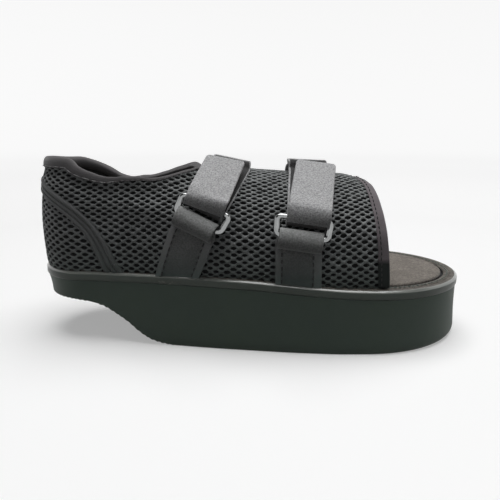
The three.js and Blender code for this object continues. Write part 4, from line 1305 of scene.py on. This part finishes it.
# Tab: up the side, round the lower bar and a short way down as a soft roll
def tab_piece(part, middle, w, v, n, stand):
    name = part["name"]
    lower = middle - v * RING_HALF_HIGH
    tab_x = part["tab_x"] * LENGTH
    foot = lower - n * stand
    bar_x, t_bar = foot[0], t_of(foot)
    radius = turn_radius(TAB_THICK)
    centres, wides = [], []
    for s in np.linspace(0, 0.93, 40):
        gp, gw, _, gn = frame_at(mix(tab_x, bar_x, s), mix(-0.02, t_bar, s), part["turn"] * s)
        centres.append(gp + gn * mix(SEWN_HIGH + TAB_THICK / 2, stand - radius, s * s))
        wides.append(turned(gw, w, s * s))
    panel = lengths(centres)[-1]
    centres += fold(lower, v, n, radius, 1.15)[:TAB_TURN]
    centres += [lower + n * out + v * up for out, up in ROLL_FRONT]
    wides += [w] * (len(centres) - len(wides))
    centres, wides = rounded(centres, wides, 1.8)

    obj, far, rows, ways, normals = webbing(
        f"{name}_tab_webbing", centres, wides, TAB_ROLL_WIDE, TAB_THICK, TAB,
        raise_at=lambda far, side: 0.08 * np.sin(far / 3.7) * np.sin(side / 5.1),
        wide_at=lambda far: TAB_WIDER * smooth((panel + 1 - far) / 3),
    )
    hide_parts(f"{name}_tab")
    on = far < panel * 0.95
    outwards = -normals[on]
    for label, middle_side, tape_wide, seam in TAB_TAPES:
        path = rows[on] + ways[on] * middle_side + outwards * (TAB_THICK / 2 + 0.1)
        webbing(f"{name}_tab_tape_{label}", path, ways[on], tape_wide, 0.7, TAB_TAPE)
        path = rows[on] + ways[on] * seam + outwards * (TAB_THICK / 2 + 0.25)
        stitches(f"{name}_tab_stitches_{label}", path, outwards, THREAD_DARK,
                 length=2.6, gap=1.7, radius=0.45)


# Strap: from the far side of the sole over the instep, down round the upper bar and back up to its loose end
def strap_piece(part, middle, w, v, n):
    name = part["name"]
    hub = middle + v * RING_HALF_HIGH + w * part["shift"]
    crown_x, far_x = part["crown_x"] * LENGTH, part["far_x"] * LENGTH
    crown_off = GAP + 2.2 + part["lift"] + STRAP_THICK / 2
    crest_way = unit(part["crest_way"])
    centres, wides = [], []
    for s in np.linspace(0, 0.86, 56):
        gp, gw, _, gn = frame_at(mix(far_x, crown_x, s), mix(-0.02, 1, s), 0, False)
        k = float(smooth((s - 0.58) / 0.27))
        centres.append(gp + gn * mix(SEWN_HIGH + STRAP_THICK / 2, FLAP_STEP + crown_off, k))
        wides.append(turned(gw, crest_way, s ** 3))

    # over the crest, from the far side of the crown to the near one, and down to the bar
    shade_row = len(centres) + SHADE_AFTER
    half = float(at_station("half", near_station(crown_x)))
    for y in np.linspace(9, -6.6, 40):
        gp, _, _, gn = frame_at(crown_x, t_at_out(-y / half), 0)
        back = mix(part["crest_high"], crown_off, float(smooth((y - 2) / 8)))
        off = mix(part["front_high"], back, float(smooth((y + 5.6) / 2.2)))
        centres.append(gp + gn * off)
        wides.append(crest_way)
    centres.append(hub - n * 2.0 + v * 3.6)
    centres += fold(hub - v * 0.5, v, n, turn_radius(STRAP_THICK) + 0.1, -1.2)[:STRAP_TURN]
    wides += [w] * (1 + STRAP_TURN)
    # from just past the crest until the turn, both faces of the under layer are near-black: the darker back
    # of the webbing, and painted shade under the outer layer
    far = lengths(centres)
    shade_from, shade_to = far[shade_row], far[-1]

    # out round the bar to the knee, and straight on to the loose end
    knee, end = np.array(part["knee"]), np.array(part["end"])
    bottom = centres[-1]
    swell = hub + n * ((knee - hub) @ n + 0.6) - v * 2.2 + w * (knee - hub) @ w * 0.4
    for s in np.linspace(0.12, 1, 10):
        centres.append(bottom * (1 - s) ** 2 + swell * 2 * s * (1 - s) + knee * s * s)
        wides.append(turned(w, part["end_way"], 0.25 * s))
    for s in np.linspace(0.1, 1, 12):
        centres.append(mix(knee, end, s))
        wides.append(turned(w, unit(part["end_way"]), 0.25 + 0.75 * s))
    centres, wides = rounded(centres, wides, 3.0)
    total = lengths(centres)[-1]

    def strap_raise(far, side):
        return 0.12 * np.sin(far / 6.1 + side / 9) * smooth((WEBBING / 2 - np.abs(side)) / 3)

    obj, far, rows, ways, normals = webbing(
        f"{name}_strap_webbing", centres, wides, STRAP_WIDE, STRAP_THICK, STRAP, raise_at=strap_raise,
        wide_at=lambda far: -0.9 * smooth((far - total + 1.6) / 1.6), back=(STRAP_BACK_SHADE, shade_from, shade_to),
    )
    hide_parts(f"{name}_strap")
    on = far < FAR_SEAM
    for label, side in (("left", -1), ("right", 1)):
        path = rows[on] + ways[on] * side * (WEBBING / 2 - 2.6) + normals[on] * (STRAP_THICK / 2 - 0.05)
        stitches(f"{name}_far_stitches_{label}", path, normals[on], THREAD_DARK)


def fastening(part):
    x = part["ring_x"] * LENGTH
    t = float(t_at_up(part["ring_up"] * ANKLE * 0.93 / at_station("high", near_station(x))))
    p, w, v, n = frame_at(x, t, part["turn"])
    stand = turn_radius(STRAP_THICK) + STRAP_THICK / 2 + 1.8
    middle = p + n * stand
    ring_piece(part["name"], middle, w, v, n)
    tab_piece(part, middle, w, v, n, stand)
    strap_piece(part, middle, w, v, n)


# Tone on tone stitches in the groove of the sole's ledge
def rim_stitches():
    loop = ring(-5.9, rim)
    path = np.concatenate([loop, loop[:1]])
    up = np.zeros_like(path)
    up[:, 2] = 1
    stitches("rim_stitches", path, up, BAND, length=2.4, gap=0.9, radius=0.42)


# Floor with a backdrop that curves up, and the world's light
def stage():
    angles = np.linspace(0, 2 * math.pi, 97)[:-1]
    profile = [(r, 0.0) for r in (0.0, 0.4, 0.8, 1.2, 1.6, FLOOR_FLAT)]
    for k in range(1, 13):
        a = k / 12 * math.pi / 2
        profile.append((FLOOR_FLAT + FLOOR_CURVE * math.sin(a), FLOOR_CURVE - FLOOR_CURVE * math.cos(a)))
    profile.append((BACKDROP, BACKDROP))
    points = [(r * math.cos(a), r * math.sin(a), z) for r, z in profile for a in angles]
    mesh = bpy.data.meshes.new("floor")
    mesh.from_pydata(points, [], grid_faces(len(profile), len(angles), wrap_cols=True))
    mesh.shade_smooth()
    floor = bpy.data.objects.new("floor", mesh)
    bpy.context.scene.collection.objects.link(floor)
    shader = Shader("floor_white")
    tint = shader.ramp(shader.noise(shader.place(), 0.8, 2.0), [(0.3, (0.6,) * 3), (0.7, (0.62,) * 3)])
    # the backdrop glows where the lamps no longer reach, so that it stays as pale as the floor
    level = shader.vector_math("MULTIPLY", [shader.coords(), (1, 1, 0)])
    reach = shader.scalar_math("DIVIDE", shader.vector_math("LENGTH", [level], "Value"), BACKDROP)
    glow = shader.ramp(reach, [(place, (grey,) * 3) for place, grey in GLOW])
    mesh.materials.append(shader.finish(
        Base_Color=tint, Roughness=1.0, Specular_IOR_Level=0.0, Emission_Color=glow, Emission_Strength=1.0,
    ))
    floor.visible_diffuse = False

    world = bpy.data.worlds.new("studio")
    bpy.context.scene.world = world
    world.use_nodes = True
    background = world.node_tree.nodes["Background"]
    background.inputs["Color"].default_value = (1, 1, 1, 1)
    background.inputs["Strength"].default_value = 0.04


def lamp(name, place, target, size, power):
    light = bpy.data.lights.new(name, "AREA")
    light.shape = "RECTANGLE"
    light.size, light.size_y = size
    light.energy = power
    obj = bpy.data.objects.new(name, light)
    obj.location = place
    obj.rotation_euler = (Vector(target) - Vector(place)).to_track_quat("-Z", "Y").to_euler()
    bpy.context.scene.collection.objects.link(obj)
    return obj


def lights_and_camera():
    lamp("overhead", (0.1, 0.1, 1.5), (0, 0, 0.05), size=(1.3, 1.1), power=25.5)
    lamp("front_fill", (0.25, -1.2, 1.4), (0, 0, 0.06), size=(1.0, 1.0), power=0.8)
    camera = bpy.data.cameras.new("camera")
    camera.lens = 33.16
    camera.sensor_width = 36
    obj = bpy.data.objects.new("camera", camera)
    obj.location = (-0.0015, -0.320, 0.1409)
    obj.rotation_euler = (math.radians(75), 0, 0)
    bpy.context.scene.collection.objects.link(obj)
    bpy.context.scene.camera = obj
    bpy.context.scene.view_settings.view_transform = "Standard"


outsole()
sole_layer()
insole()
lining()
upper_meshes()
collar_binding()
toe_bindings()
counter_tape()
for part in FASTENINGS:
    fastening(part)
rim_stitches()
stage()
lights_and_camera()
